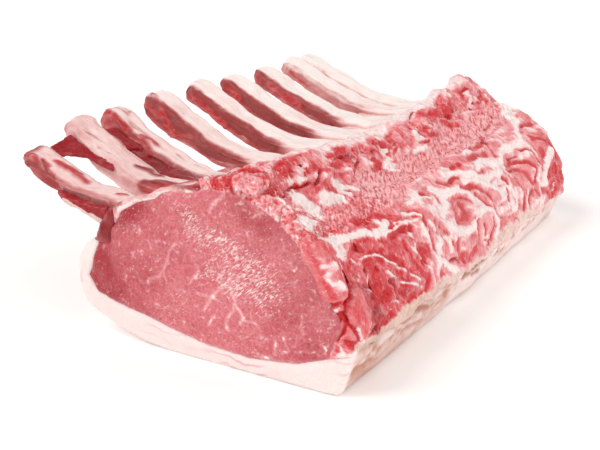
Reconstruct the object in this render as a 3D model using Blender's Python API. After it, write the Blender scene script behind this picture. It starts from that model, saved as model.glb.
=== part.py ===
"""A raw frenched rack of pork: the bone-in rib end of a loin, lying on its fat cap.

The long axis of the loin runs along Y. The near cut face, with the big loin eye, is at -Y.
The sawn backbone side is at +X, and nine rib bones curve up and out towards -X.
Z is up, and the flat underside of the fat cap rests on Z = 0.
"""

import math

import bmesh
import bpy
from mathutils import Vector, noise

MM = 0.001

# ---- driving dimensions, in millimetres ----
LENGTH = 264.0
NEAR_Y = -LENGTH / 2
FAR_Y = LENGTH / 2
SEAM_GAP = 0.36  # open seam between two neighbouring pieces
OUTSIDE = 30.0  # how far a dividing solid reaches past the meat
RIB_WIDTH = 14.5
RIB_THICKNESS = 9.5

# Stations along the loin at which the cross-sections are given.
STATIONS = (NEAR_Y, -102.0, 0.0, 108.0)

# The outline of the whole loin as (x, z) at each station: near face, collar, middle, far end.
# It starts under the left side and runs along the sole, up the backbone side, over the top and down.
OUTLINE = (
    ("sole_left", (-26, 0), (-26, 0), (-26, 0), (-26, 0)),
    ("sole_middle", (16, 0), (16, 0), (16, 0), (16, 0)),
    ("sole_right", (57, 0), (57, 0), (57, 0), (55, 0)),
    ("heel", (62, 2.5), (62.5, 3), (62.5, 3), (60, 3)),
    ("fat_wall", (65.5, 13), (66, 12), (66, 11), (63.5, 12)),
    ("fat_line", (67.5, 23), (67.5, 20), (66.5, 18), (64.8, 19)),
    ("flank_low", (66.5, 33), (66.5, 31), (65.5, 29), (64, 28)),
    ("flank_middle", (62, 44), (62.5, 43), (61, 41), (60, 38)),
    ("flank_high", (56.5, 54), (56, 53.5), (54.5, 51.5), (54.5, 45.5)),
    ("crest", (50.5, 62), (48.5, 60.5), (47, 59), (47, 51.5)),
    ("crest_inside", (45, 68.5), (41, 62.5), (39.5, 59.5), (39.5, 56)),
    ("groove", (38, 74.5), (34.5, 64.5), (32, 57.5), (31.5, 58.5)),
    ("strip", (29, 80), (27, 71), (24, 62), (23, 62)),
    ("ridge_right", (24, 83), (20, 78.5), (16, 68.5), (13, 68.5)),
    ("ridge_top", (16, 88), (13, 83), (8, 72.5), (5, 74)),
    ("ridge_left", (5, 83.5), (3, 79), (-1, 67.5), (-3, 68)),
    ("slope", (-18, 76), (-18, 67.5), (-13, 59), (-13, 59.5)),
    ("trough", (-35, 69.5), (-36, 60), (-28, 54), (-28, 53.5)),
    ("bed", (-46, 64.5), (-47, 55.5), (-44, 52.5), (-44, 52.5)),
    ("bed_edge", (-52.5, 60.5), (-54, 53.5), (-54, 52.5), (-54, 52.5)),
    ("shoulder", (-57, 53), (-59, 49.5), (-59.5, 49.5), (-59, 49.5)),
    ("fat_edge", (-60, 45.6), (-63, 44.8), (-64, 44.4), (-63.5, 44.4)),
    ("side_high", (-67.5, 42), (-69, 39.5), (-69, 39.5), (-68, 39.5)),
    ("side_middle", (-72.4, 29), (-73, 26), (-73, 26), (-72, 26)),
    ("side_low", (-68, 13.5), (-67, 12.5), (-67, 12.5), (-66, 12.5)),
    ("sole_turn", (-47, 4.5), (-47, 4.5), (-47, 4.5), (-47, 4.5)),
)
# Ring points in each stretch of the outline; the underside needs few, the carved top many.
SPLITS = (2, 3, 2, 2, 2, 2, 2, 3, 3, 3, 3, 2, 3, 2, 3, 3, 3, 3, 2, 2, 2, 2, 3, 3, 3, 3)

# Where the fat cap meets the muscles, from the left edge round under the eye to the right side.
FAT_LINE = (
    ((-95, 44.8), (-95, 43.6), (-95, 43.2), (-95, 43.2)),
    ((-58.8, 44.8), (-60.4, 43.6), (-61, 43.2), (-60.6, 43.2)),
    ((-61.8, 36.5), (-63, 36), (-63.4, 36), (-63, 36)),
    ((-66.5, 27), (-66.5, 27), (-66.5, 27), (-65.5, 27)),
    ((-60, 20.7), (-60, 20.7), (-60, 20.7), (-60, 20.7)),
    ((-47, 17.6), (-47, 17.4), (-47, 17), (-47, 17)),
    ((-33, 15), (-33, 14.6), (-33, 14), (-33, 14)),
    ((-6, 9.5), (-6, 9.5), (-6, 9.5), (-6, 9.5)),
    ((19, 7.8), (19, 7.8), (19, 7.8), (19, 8)),
    ((43, 11.5), (43, 11), (43, 10), (43, 10.5)),
    ((57.5, 17), (57.5, 15.5), (57.5, 14), (56, 14.5)),
    ((95, 30), (95, 28), (95, 24), (95, 25)),
)

# The top and backbone side of the eye muscle, from its left edge over to the fat line.
EYE_LINE = (
    ((-51.5, 53.2), (-51.5, 47.6), (-51.5, 45.4), (-51.5, 45.4)),
    ((-46, 60.2), (-46, 49), (-44, 45.2), (-44, 45.2)),
    ((-36, 66.6), (-36, 53), (-28, 45.6), (-28, 45.4)),
    ((-18, 74.6), (-18, 60), (-13, 49.5), (-13, 50)),
    ((-4.2, 77.4), (-4.2, 68), (-4.2, 54.5), (-4.2, 55)),
    ((6, 78.7), (6, 70.5), (6, 57), (6, 57)),
    ((17.2, 78), (17.2, 68.5), (17.2, 55.5), (17.2, 55)),
    ((27, 74.4), (26, 62), (25, 51), (25, 51)),
    ((34.2, 70.6), (34.2, 55), (34.2, 47), (34.2, 47)),
    ((43.5, 63.2), (42, 49), (42, 41.5), (42, 40.5)),
    ((50, 54), (49, 42), (48.5, 35.5), (47.5, 34)),
    ((58, 41), (55.5, 33), (53.5, 28.5), (52.5, 27)),
    ((62.5, 31), (58.5, 25), (56.5, 21.5), (55, 20.5)),
)

# The ribs: depth of the tip and of the root, tip (x, z), trough (x, z), root (x, z), width,
# thickness, and how much meat still hangs under the outer half.
RIBS = (
    ("rib_1", -118.5, -120, (-105.5, 76.5), (-66, 63.8), (-44, 59), 16.0, 8.0, 0.0),
    ("rib_2", -88, -88, (-105.0, 84.5), (-52, 60.0), (-18, 63), 19.5, 9.5, 0.0),
    ("rib_3", -60, -60, (-106.0, 83.0), (-45, 57.3), (-12, 61), 16.5, 9.5, 4.0),
    ("rib_4", -27.5, -25, (-104.5, 85.0), (-42, 58.7), (-8, 62), 17.0, 10.0, 3.0),
    ("rib_5", 7.5, 9, (-103.5, 83.2), (-38, 58.2), (-5, 63), 17.0, 10.0, 0.0),
    ("rib_6", 38.5, 42, (-102.6, 80.8), (-35, 56.5), (-5, 63), 17.0, 10.0, 0.0),
    ("rib_7", 70.5, 72, (-102.4, 79.8), (-36, 56.6), (-5, 63), 17.0, 10.0, 0.0),
    ("rib_8", 102, 102, (-102.0, 78.6), (-36, 55.8), (-5, 63), 16.0, 9.5, 0.0),
    ("rib_9", 123, 119.5, (-103.0, 76.6), (-33, 55.8), (-5, 63), 14.0, 9.0, 0.0),
)
RIB_STEPS = 11
RIB_SIDES = 8

# Flesh left between the bare bones. Each row is a cut across it: x, then the near and the far
# edge as (y, low z, high z).
FLESH = (
    (
        "flap_1",
        (-84.5, (-128.0, 60.5, 62.5), (-116.0, 61.0, 62.5)),
        (-81.5, (-130.0, 57.5, 63.0), (-113.0, 58.0, 63.0)),
        (-77.0, (-130.6, 55.6, 62.0), (-112.5, 56.5, 62.0)),
        (-70.5, (-130.6, 54.2, 61.0), (-112.0, 54.0, 61.0)),
        (-64.0, (-130.6, 52.2, 61.0), (-112.0, 51.0, 60.0)),
        (-56.0, (-130.6, 49.0, 61.0), (-112.0, 47.0, 59.0)),
    ),
    (
        "web_1",
        (-104.0, (-110.8, 73.0, 75.5), (-92.0, 76.5, 80.0)),
        (-100.0, (-111.5, 70.0, 72.5), (-92.0, 73.0, 78.0)),
        (-95.5, (-108.0, 70.5, 72.5), (-92.0, 69.5, 76.0)),
        (-90.0, (-101.5, 69.0, 71.5), (-92.0, 67.0, 73.0)),
        (-84.0, (-100.0, 66.0, 69.0), (-92.0, 64.5, 70.0)),
        (-79.0, (-99.0, 64.0, 66.0), (-92.0, 62.5, 67.0)),
    ),
    (
        "web_2",
        (-98.0, (-84.0, 75.0, 77.0), (-66.0, 73.5, 75.5)),
        (-91.0, (-84.0, 69.5, 73.5), (-66.0, 68.0, 72.0)),
        (-84.0, (-84.0, 67.0, 69.0), (-66.0, 65.5, 67.5)),
    ),
    (
        "lean_scrap",
        (-80.0, (-83.0, 63.0, 65.0), (-66.0, 61.5, 63.5)),
        (-70.0, (-84.0, 56.0, 62.5), (-66.0, 56.0, 61.0)),
        (-60.0, (-85.0, 50.0, 62.0), (-66.0, 50.0, 60.0)),
        (-50.0, (-87.0, 48.0, 61.5), (-66.0, 48.0, 59.0)),
        (-40.0, (-87.0, 48.0, 61.0), (-72.0, 48.0, 59.0)),
    ),
)

# Colours of the finishes: (name, linear RGB, roughness).
FINISHES = {
    "lean": ((0.62, 0.17, 0.19), 0.35),
    "dark_lean": ((0.42, 0.06, 0.07), 0.35),
    "fat": ((0.93, 0.78, 0.72), 0.45),
    "bone": ((0.88, 0.62, 0.58), 0.40),
    "membrane": ((0.90, 0.62, 0.60), 0.35),
}


# ---- general helpers ----
def clear_scene():
    for old in list(bpy.data.objects):
        bpy.data.objects.remove(old)


def finish(name):
    """The Principled material of one finish, made once."""
    made = bpy.data.materials.get(name)
    if made:
        return made
    colour, roughness = FINISHES[name]
    made = bpy.data.materials.new(name)
    made.use_nodes = True
    shader = made.node_tree.nodes["Principled BSDF"]
    shader.inputs["Base Color"].default_value = (*colour, 1.0)
    shader.inputs["Roughness"].default_value = roughness
    shader.inputs["Metallic"].default_value = 0.0
    return made


def add_object(name, mesh, finish_name):
    made = bpy.data.objects.new(name, mesh)
    bpy.context.scene.collection.objects.link(made)
    if finish_name:
        mesh.materials.clear()
        mesh.materials.append(finish(finish_name))
    return made


def make_helper(cutter):
    """A dividing solid: it shapes its neighbours and is no part of the meat."""
    cutter.hide_render = True
    cutter.display_type = "WIRE"
    return cutter


def catmull(before, start, end, after, t):
    """A point on the smooth curve from start to end, shaped by the points around them."""
    return 0.5 * (
        2 * start
        + (end - before) * t
        + (2 * before - 5 * start + 4 * end - after) * t * t
        + (3 * start - before - 3 * end + after) * t**3
    )


def station_point(places, y):
    """The (x, z) of one outline or seam point at depth y, eased between its stations."""
    if y <= STATIONS[0]:
        return Vector(places[0])
    for first, (low, high) in enumerate(zip(STATIONS, STATIONS[1:])):
        if y <= high:
            share = (y - low) / (high - low)
            eased = share * share * (3 - 2 * share)
            return Vector(places[first]).lerp(Vector(places[first + 1]), eased)
    return Vector(places[-1])


def closed_loft(name, rings, finish_name=None, smooth=False):
    """A closed solid through rings of equal length, its two ends filled."""
    shape = bmesh.new()
    loops = [[shape.verts.new(Vector(point) * MM) for point in ring] for ring in rings]
    sides = len(rings[0])
    for lower, upper in zip(loops, loops[1:]):
        for k in range(sides):
            after = (k + 1) % sides
            shape.faces.new((lower[k], lower[after], upper[after], upper[k]))
    shape.faces.new(loops[0])
    shape.faces.new(loops[-1])
    bmesh.ops.recalc_face_normals(shape, faces=shape.faces)
    mesh = bpy.data.meshes.new(name)
    shape.to_mesh(mesh)
    shape.free()
    if smooth:
        mesh.shade_smooth()
        mesh.set_sharp_from_angle(angle=math.radians(50))
    return add_object(name, mesh, finish_name)


def boolean(target, operation, operand):
    """A live Boolean on target with one object or with a collection of them."""
    made = target.modifiers.new(operation.lower(), "BOOLEAN")
    made.operation = operation
    made.solver = "EXACT"
    if isinstance(operand, bpy.types.Collection):
        made.operand_type = "COLLECTION"
        made.collection = operand
    else:
        made.object = operand
    return made


# ---- the loin as one block, with the relief of its surface ----
def bump(value, centre, half_width):
    """A smooth hill of height 1 at centre that is flat 0 beyond half_width."""
    share = min(1.0, abs(value - centre) / half_width)
    return (1 - share * share) ** 2


def relief(point, y):
    """How far the surface stands out, in millimetres, at an outline point (x, z) and depth y."""
    x, z = point
    if z < 24 or x < -60:
        return 0.0
    here = Vector((x, y, z))
    inside = min(1.0, (FAR_Y - y) / 14, (y - NEAR_Y) / 6)
    rough = noise.noise(here / 9.0) * 1.5 + noise.noise(here / 4.2) * 0.9
    # The sawn vertebrae stand up one after another along the ridge.
    knuckles = math.cos((y + 12) / 31.0 * 2 * math.pi)
    on_ridge = bump(x, 8 - 0.02 * y, 15) * (z > 60)
    lift = on_ridge * (1.1 * rough + 1.6 * knuckles)
    # The last vertebra ends in an upright splinter.
    lift += 5.0 * bump(x, 4, 8) * bump(y, 112, 8) * (z > 60)
    # The backbone side is a chain of soft swellings with creases between them.
    on_side = bump(x, 56, 17)
    swell = noise.noise(Vector((x / 30, y / 26, z / 30))) * 3.4
    lift += on_side * (swell + 0.7 * rough)
    # The strip between them is combed by shallow cross grooves.
    on_strip = bump(x, 25, 9)
    lift += on_strip * 0.45 * math.cos(y / 5.4 * 2 * math.pi + 0.25 * x)
    return lift * max(0.0, inside)


def outline_ring(y, shrink=0.0, step=0.0, grow=0.0):
    """The loin's outline at depth y, pulled in by shrink from its middle, as 3-D points."""
    corners = [station_point(row[1:], y) for row in OUTLINE]
    count = len(corners)
    flat = []
    for k, splits in enumerate(SPLITS):
        around = [corners[(k + j) % count] for j in (-1, 0, 1, 2)]
        flat += [catmull(*around, j / splits) for j in range(splits)]
    middle = sum(flat, Vector((0, 0))) / len(flat)
    ring = []
    for k, point in enumerate(flat):
        tangent = flat[(k + 1) % len(flat)] - flat[k - 1]
        outward = Vector((tangent.y, -tangent.x)).normalized()
        raised = point + outward * (relief(point, y) + grow)
        raised.y = max(-grow, raised.y)
        raised += (middle - raised) * shrink
        ring.append((raised.x, y + step, raised.y))
    return ring


# The near cut swells a little; the far end is rounded. Each row: share pulled in, depth offset.
NEAR_CAP = ((0.80, -3.4), (0.50, -2.9), (0.22, -1.7), (0.03, -0.4))
FAR_CAP = ((0.035, 3.2), (0.10, 6.5), (0.30, 8.6), (0.65, 9.4), (0.85, 9.6))
FAR_BODY_Y = FAR_Y - 9.6
BODY_STEPS = 40


def loin_block(name, grow=0.0):
    """The whole loin as one solid; grow makes it wider all round, for the room it needs."""
    rings = [outline_ring(NEAR_Y, shrink, step - grow, grow) for shrink, step in NEAR_CAP]
    for k in range(BODY_STEPS + 1):
        y = NEAR_Y + (FAR_BODY_Y - NEAR_Y) * k / BODY_STEPS
        rings.append(outline_ring(y, grow=grow))
    rings += [outline_ring(FAR_BODY_Y, shrink, step + grow, grow) for shrink, step in FAR_CAP]
    return make_helper(closed_loft(name, rings))


# ---- the dividing solids, one round each piece of the loin ----
def offset_line(line, distance):
    """An open (x, z) line moved sideways, to its left for a positive distance."""
    moved = []
    for k, point in enumerate(line):
        before = line[max(k - 1, 0)]
        after = line[min(k + 1, len(line) - 1)]
        along = (after - before).normalized()
        moved.append(point + Vector((-along.y, along.x)) * distance)
    return moved


def fat_line(y, distance=0.0):
    return offset_line([station_point(row, y) for row in FAT_LINE], distance)


def eye_line(y, distance=0.0):
    return offset_line([station_point(row, y) for row in EYE_LINE], distance)


def below_fat_line(y):
    line = fat_line(y, -SEAM_GAP / 2)
    return line + [Vector((95, -OUTSIDE)), Vector((-95, -OUTSIDE))]


def inside_eye(y):
    """The eye muscle: between the fat line and the eye line."""
    over = eye_line(y, -SEAM_GAP / 2)
    under = fat_line(y, SEAM_GAP / 2)[1:-1]
    under[0] += Vector((0.3, -SEAM_GAP))
    under[-1].x -= SEAM_GAP / 2
    left_foot = Vector((BED_LEFT + SEAM, under[0].y))
    over[0].x = left_foot.x
    return [left_foot] + over + under[::-1]


def over_eye(y, first, last, left_x, right_x):
    """A slice standing on the eye line between two of its points, open to the sky."""
    line = eye_line(y, SEAM_GAP / 2)[first : last + 1]
    line[0].x = left_x
    line[-1].x = right_x
    return line + [Vector((right_x, 130)), Vector((left_x, 130))]


SEAM = SEAM_GAP / 2
BED_LEFT, RIDGE_LEFT, RIDGE_RIGHT, SIDE_LEFT = -51.5, -4.2, 17.2, 34.2


def flank_slice(y):
    """The dark muscle along the left edge, between the fat wrap and the rib bed."""
    low = fat_line(y, SEAM_GAP / 2)[1].y
    right = BED_LEFT - SEAM
    return [Vector(p) for p in ((-95, low), (right, low), (right, 90), (-95, 90))]


def side_slice(y):
    """The marbled muscles of the backbone side: right of the strip, over eye and fat."""
    down = eye_line(y, SEAM_GAP / 2)[8:]
    down[0].x = SIDE_LEFT + SEAM
    under = fat_line(y, SEAM_GAP / 2)[-2:]
    under[0].x += SEAM_GAP / 2
    top = [Vector((95, 130)), Vector((SIDE_LEFT + SEAM, 130))]
    return down + under + top


# The corner of the backbone side is three pieces, one behind another.
LOBE_BACK_Y = -121.0
FLAP_BACK_Y = -106.0
SLICE_STATIONS = (-132, -126, LOBE_BACK_Y, -114, FLAP_BACK_Y, -102, -85, -68, -34, 0, 36, 72, 108)


def slice_solid(name, section, low_y=NEAR_Y - OUTSIDE, high_y=FAR_Y + OUTSIDE):
    """A dividing solid through the same section at each station, from low_y to high_y."""
    between = [y for y in SLICE_STATIONS if low_y + 1 < y < high_y - 1]
    rings = [[(p.x, y, p.y) for p in section(y)] for y in [low_y, *between, high_y]]
    return make_helper(closed_loft(name, rings))


def muscle(name, block, region, finish_name, rib_room=None):
    """One piece of the loin: what of the block lies inside its dividing solid."""
    made = add_object(name, block.data.copy(), finish_name)
    made.data.shade_smooth()
    made.data.set_sharp_from_angle(angle=math.radians(45))
    boolean(made, "INTERSECT", region)
    if rib_room:
        boolean(made, "DIFFERENCE", rib_room)
    return made


# ---- the ribs and the flesh left between them ----
def rib_height(x, tip, trough, root):
    """Height of a rib's upper surface: an easing rise to the tip, a curved one to the root."""
    if x < trough[0]:
        out = (trough[0] - x) / (trough[0] - tip[0])
        return trough[1] + (tip[1] - trough[1]) * (1.35 * out**2 - 0.35 * out**4)
    back = (x - trough[0]) / (root[0] - trough[0])
    return trough[1] + (root[1] - trough[1]) * back**1.7


def rib_rings(number, row, grow=0.0):
    """Rings of one rib from the tip to the root; grow widens it for the room cut round it."""
    _, tip_y, root_y, tip, trough, root, full_width, full_thick, hang = row
    rings = []
    for step in range(RIB_STEPS + 2):
        share = max(0.0, (step - 0.65) / (RIB_STEPS + 0.35))
        x = tip[0] + (root[0] - tip[0]) * share
        y = tip_y + (root_y - tip_y) * share
        top = rib_height(x, tip, trough, root)
        ahead = rib_height(x + 1, tip, trough, root)
        along = Vector((1, 0, ahead - top)).normalized()
        up = Vector((-along.z, 0, along.x))
        seed = Vector((x / 13, number * 7.3, 0.0))
        rounding = 0.72 if step == 0 else 1.0
        width = full_width / 2 * rounding * (1 + 0.07 * noise.noise(seed)) + grow
        thick = full_thick / 2 * rounding * (1 + 0.10 * noise.noise(seed + Vector((0, 0, 5)))) + grow
        below = hang * bump(x, -96, 22) * rounding
        middle = Vector((x, y, top)) - up * full_thick / 2
        if step == 0:
            middle -= along * (0.9 + grow)
        ring = []
        for k in range(RIB_SIDES):
            turn = 2 * math.pi * (k + 0.5) / RIB_SIDES
            side = math.copysign(abs(math.cos(turn)) ** 0.7, math.cos(turn))
            rise = math.copysign(abs(math.sin(turn)) ** 0.7, math.sin(turn))
            low = below * (0.7 - 0.3 * side) if rise < 0 else 0.0
            ring.append(middle + Vector((0, width * side, 0)) + up * (thick * rise - low))
        rings.append(ring)
    return rings


def make_ribs():
    """The nine bones, and hidden slightly wider copies that cut their beds in the meat."""
    room = bpy.data.collections.new("rib_room")
    bpy.context.scene.collection.children.link(room)
    for number, row in enumerate(RIBS):
        closed_loft(row[0], rib_rings(number, row), "bone", smooth=True)
        wide = make_helper(closed_loft(row[0] + "_room", rib_rings(number, row, SEAM_GAP)))
        bpy.context.scene.collection.objects.unlink(wide)
        room.objects.link(wide)
    return room


def flesh_rings(rows):
    """Eight-cornered rings of one scrap of flesh, its edges thinner than its middle."""
    rings = []
    for x, (near, low_near, high_near), (far, low_far, high_far) in rows:
        ring = []
        for share in (0.0, 0.3, 0.7, 1.0):
            low = low_near + (low_far - low_near) * share
            high = high_near + (high_far - high_near) * share
            pinch = 0.22 * (high - low) if share in (0.0, 1.0) else 0.0
            y = near + (far - near) * share
            ring.insert(len(ring) // 2, Vector((x, y, low + pinch)))
            ring.insert(len(ring) // 2 + 1, Vector((x, y, high - pinch)))
        rings.append(ring)
    return rings


def make_flesh(rib_room, block_room):
    """Scraps of flesh, cut back from the bones and from the loin."""
    for name, *rows in FLESH:
        scrap = closed_loft(name, flesh_rings(rows), "dark_lean", smooth=True)
        boolean(scrap, "DIFFERENCE", rib_room)
        boolean(scrap, "DIFFERENCE", block_room)


# ---- the whole rack ----
def build():
    clear_scene()
    rib_room = make_ribs()
    block = loin_block("loin_block")
    make_flesh(rib_room, loin_block("loin_room", SEAM_GAP))
    muscle("fat_cap", block, slice_solid("fat_slice", below_fat_line), "fat")
    eye_region = slice_solid("eye_slice", inside_eye)
    muscle("loin_eye", block, eye_region, "lean", rib_room)
    flank_region = slice_solid("flank_slice", flank_slice)
    muscle("flank_strip", block, flank_region, "dark_lean", rib_room)

    def bed_slice(y):
        return over_eye(y, 0, 4, BED_LEFT + SEAM, RIDGE_LEFT - SEAM)

    def ridge_slice(y):
        return over_eye(y, 4, 6, RIDGE_LEFT + SEAM, RIDGE_RIGHT - SEAM)

    def strip_slice(y):
        return over_eye(y, 6, 8, RIDGE_RIGHT + SEAM, SIDE_LEFT - SEAM)

    muscle("rib_bed", block, slice_solid("bed_slice", bed_slice), "membrane", rib_room)
    muscle("chine_ridge", block, slice_solid("ridge_slice", ridge_slice), "lean", rib_room)
    muscle("feather_strip", block, slice_solid("strip_slice", strip_slice), "lean")
    side_region = slice_solid("side_slice", side_slice, low_y=FLAP_BACK_Y + SEAM)
    muscle("marbled_side", block, side_region, "lean")
    flap_region = slice_solid("flap_slice", side_slice, LOBE_BACK_Y + SEAM, FLAP_BACK_Y - SEAM)
    muscle("corner_flap", block, flap_region, "lean")
    lobe_region = slice_solid("lobe_slice", side_slice, high_y=LOBE_BACK_Y - SEAM)
    muscle("corner_lobe", block, lobe_region, "lean")


build()
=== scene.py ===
import math

import bmesh
import bpy
import numpy as np
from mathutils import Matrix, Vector


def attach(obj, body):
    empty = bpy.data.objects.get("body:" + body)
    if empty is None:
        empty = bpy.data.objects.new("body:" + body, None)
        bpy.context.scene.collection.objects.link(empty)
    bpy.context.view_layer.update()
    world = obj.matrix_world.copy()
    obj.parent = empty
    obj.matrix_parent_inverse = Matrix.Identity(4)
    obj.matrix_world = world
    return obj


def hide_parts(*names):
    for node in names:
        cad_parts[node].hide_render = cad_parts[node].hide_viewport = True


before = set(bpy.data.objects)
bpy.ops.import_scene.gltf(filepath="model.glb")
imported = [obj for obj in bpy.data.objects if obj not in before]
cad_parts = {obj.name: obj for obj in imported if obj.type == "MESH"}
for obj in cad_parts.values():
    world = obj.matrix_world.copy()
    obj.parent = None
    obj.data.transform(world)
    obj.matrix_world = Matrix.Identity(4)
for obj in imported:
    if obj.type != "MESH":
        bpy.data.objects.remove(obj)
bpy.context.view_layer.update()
MM = 0.001

# ---------------------------------------------------------------------------------------------
# The table, the light and the camera. The rack lies on a plain white table under one broad soft
# lamp from the front left, with the room's own pale light all round it.
TABLE_SIZE = 9.0
TABLE_DROP = 0.0002  # the table lies a hair below the meat
TABLE_GLOW = 0.15
ROOM_LIGHT = 0.62
LAMP_STRENGTH = 1.15
LAMP_SOFTNESS = math.radians(28)
LAMP_FROM = Vector((-0.42, -0.48, 0.78))
FILL_STRENGTH = 0.75
FILL_SOFTNESS = math.radians(70)
FILL_FROM = Vector((0.85, 0.05, 0.55))
CAMERA_AT = Vector((0.268992, -0.510883, 0.231565))
CAMERA_DOWN, CAMERA_ROUND = math.radians(20.01), math.radians(30.757)


def tint(red, green, blue):
    """A screen colour of 0 to 255 as the linear colour that a material works in."""
    parts = [channel / 255 for channel in (red, green, blue)]
    return [c / 12.92 if c < 0.04045 else ((c + 0.055) / 1.055) ** 2.4 for c in parts] + [1.0]


def fill(node, sockets):
    """Gives each named socket of a node its value, or the link that feeds it."""
    for key, value in sockets.items():
        if isinstance(value, bpy.types.NodeSocket):
            node.id_data.links.new(value, node.inputs[key])
        else:
            node.inputs[key].default_value = value


def put(tree, kind, sockets=None, **settings):
    """One node in a material or a group, with its settings and its sockets."""
    node = tree.nodes.new("ShaderNode" + kind)
    for key, value in settings.items():
        setattr(node, key, value)
    fill(node, sockets or {})
    return node


def new_material(name):
    """A new material, with its node tree and its shader."""
    made = bpy.data.materials.new(name)
    made.use_nodes = True
    return made, made.node_tree, made.node_tree.nodes["Principled BSDF"]


table_shape = bmesh.new()
bmesh.ops.create_grid(table_shape, x_segments=2, y_segments=2, size=TABLE_SIZE / 2)
bmesh.ops.translate(table_shape, verts=table_shape.verts, vec=(0, 0, -TABLE_DROP))
table_mesh = bpy.data.meshes.new("table_top")
table_shape.to_mesh(table_mesh)
table_shape.free()
table_top = bpy.data.objects.new("table_top", table_mesh)
bpy.context.scene.collection.objects.link(table_top)
table_material, tree, shader = new_material("white_table")
fill(shader, {
    "Base Color": (0.97, 0.965, 0.955, 1), "Roughness": 0.9, "Specular IOR Level": 0.1,
    "Emission Color": (1, 0.99, 0.98, 1), "Emission Strength": TABLE_GLOW,
})
table_mesh.materials.append(table_material)

room = bpy.data.worlds.new("pale_room")
bpy.context.scene.world = room
room.use_nodes = True
seen = put(room.node_tree, "LightPath").outputs["Is Camera Ray"]
share = put(room.node_tree, "MapRange", {"Value": seen, "To Min": ROOM_LIGHT, "To Max": 1.0})
share = share.outputs["Result"]
fill(room.node_tree.nodes["Background"], {"Color": (1.0, 0.99, 0.98, 1), "Strength": share})

for name, strength, softness, comes_from in (
    ("broad_lamp", LAMP_STRENGTH, LAMP_SOFTNESS, LAMP_FROM),
    ("side_fill", FILL_STRENGTH, FILL_SOFTNESS, FILL_FROM),
):
    lamp_data = bpy.data.lights.new(name, "SUN")
    lamp_data.energy = strength
    lamp_data.angle = softness
    lamp_data.color = (1.0, 0.985, 0.965)
    lamp = bpy.data.objects.new(name, lamp_data)
    lamp.rotation_euler = comes_from.to_track_quat("Z", "Y").to_euler()
    bpy.context.scene.collection.objects.link(lamp)

camera_data = bpy.data.cameras.new("camera")
camera_data.lens = 72.0
camera_data.sensor_width = 36.0
camera_data.clip_start = 0.01
camera = bpy.data.objects.new("camera", camera_data)
camera.location = CAMERA_AT
camera.rotation_euler = (math.pi / 2 - CAMERA_DOWN, 0, CAMERA_ROUND)
bpy.context.scene.collection.objects.link(camera)
bpy.context.scene.camera = camera
bpy.context.scene.view_settings.view_transform = "Standard"

# ---------------------------------------------------------------------------------------------
# The loin eye: the big round lean muscle, sliced straight across at both ends. The cut shows its
# fibre bundles end on as a fine pink grain, with thin white veins of fat branching through it.
HALF_LENGTH = 132.0
CUT_VOXEL = 1.1
CUT_DEPTH = 6.0
FACE_DEPTH = -130.6  # the near face lies beyond this
SWAY = np.array((1.5, 1.0, 0.9))
MEET = 0.4  # how far each piece swells, so that it just meets its neighbours


def read_points(mesh):
    """A mesh's points in millimetres, and their outward directions."""
    places = np.empty(len(mesh.vertices) * 3)
    mesh.vertices.foreach_get("co", places)
    outward = np.empty(len(mesh.vertices) * 3)
    mesh.vertex_normals.foreach_get("vector", outward)
    return places.reshape(-1, 3) / MM, outward.reshape(-1, 3)


def write_points(mesh, points):
    """Puts a mesh's points, in millimetres, back into it."""
    mesh.vertices.foreach_set("co", (points * MM).ravel())
    mesh.update()


def merged_copy(node):
    """A CAD node's shape with its loose triangles joined."""
    shape = bmesh.new()
    shape.from_mesh(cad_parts[node].data)
    bmesh.ops.remove_doubles(shape, verts=shape.verts, dist=0.002 * MM)
    return shape


def keep_between(shape, low, high):
    """Cuts a closed shape to the stretch between two depths and closes its ends."""
    for depth, side in ((low, -1), (high, 1)):
        if depth is None:
            continue
        parts = shape.verts[:] + shape.edges[:] + shape.faces[:]
        at, facing = (0, depth * MM, 0), (0, side, 0)
        bmesh.ops.bisect_plane(shape, geom=parts, dist=1e-7, plane_co=at, plane_no=facing, clear_outer=True)
        bmesh.ops.holes_fill(shape, edges=[e for e in shape.edges if e.is_boundary])


def as_piece(name, shape):
    """A finished shape as a piece in the scene."""
    mesh = bpy.data.meshes.new(name)
    shape.to_mesh(mesh)
    shape.free()
    piece = bpy.data.objects.new(name, mesh)
    bpy.context.scene.collection.objects.link(piece)
    return piece


def even_skin(piece, voxel, softening):
    """Gives a closed piece a skin of small even faces, and softens its edges a little."""
    remesh = piece.modifiers.new("even", "REMESH")
    remesh.mode = "VOXEL"
    remesh.voxel_size = voxel * MM
    soften = piece.modifiers.new("soften", "SMOOTH")
    soften.factor = 0.5
    soften.iterations = softening
    graph = bpy.context.evaluated_depsgraph_get()
    fine = bpy.data.meshes.new_from_object(piece.evaluated_get(graph))
    piece.modifiers.clear()
    coarse, piece.data = piece.data, fine
    bpy.data.meshes.remove(coarse)


def flesh_copy(name, node, voxel, softening=3):
    """A fine-skinned copy of a node, ready for its relief."""
    piece = as_piece(name, merged_copy(node))
    even_skin(piece, voxel, softening)
    return piece


def lumps(points, size, seed=0):
    """Smooth seeded noise from -1 to 1 at points in millimetres, with lumps of the given size."""
    spot = points / size + seed * 7.31
    base = np.floor(spot).astype(np.int64)
    part = spot - base
    part = part**3 * (part * (part * 6 - 15) + 10)
    total = np.zeros(len(points))
    for corner in np.ndindex(2, 2, 2):
        key = (base + corner) @ np.array((73856093, 19349663, 83492791)) + seed * 6151
        key = ((key ^ (key >> 13)) * 1274126177) & 0x7FFFFFFF
        key ^= key >> 15
        weight = np.where(corner, part, 1 - part).prod(axis=1)
        total += ((key & 0xFFFF) / 32767.5 - 1) * weight
    return total


def rough(points, size, seed=0, octaves=3):
    """Lumps with ever smaller lumps on them."""
    return sum(lumps(points, size / 2**k, seed + k) * 0.55**k for k in range(octaves))


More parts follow.
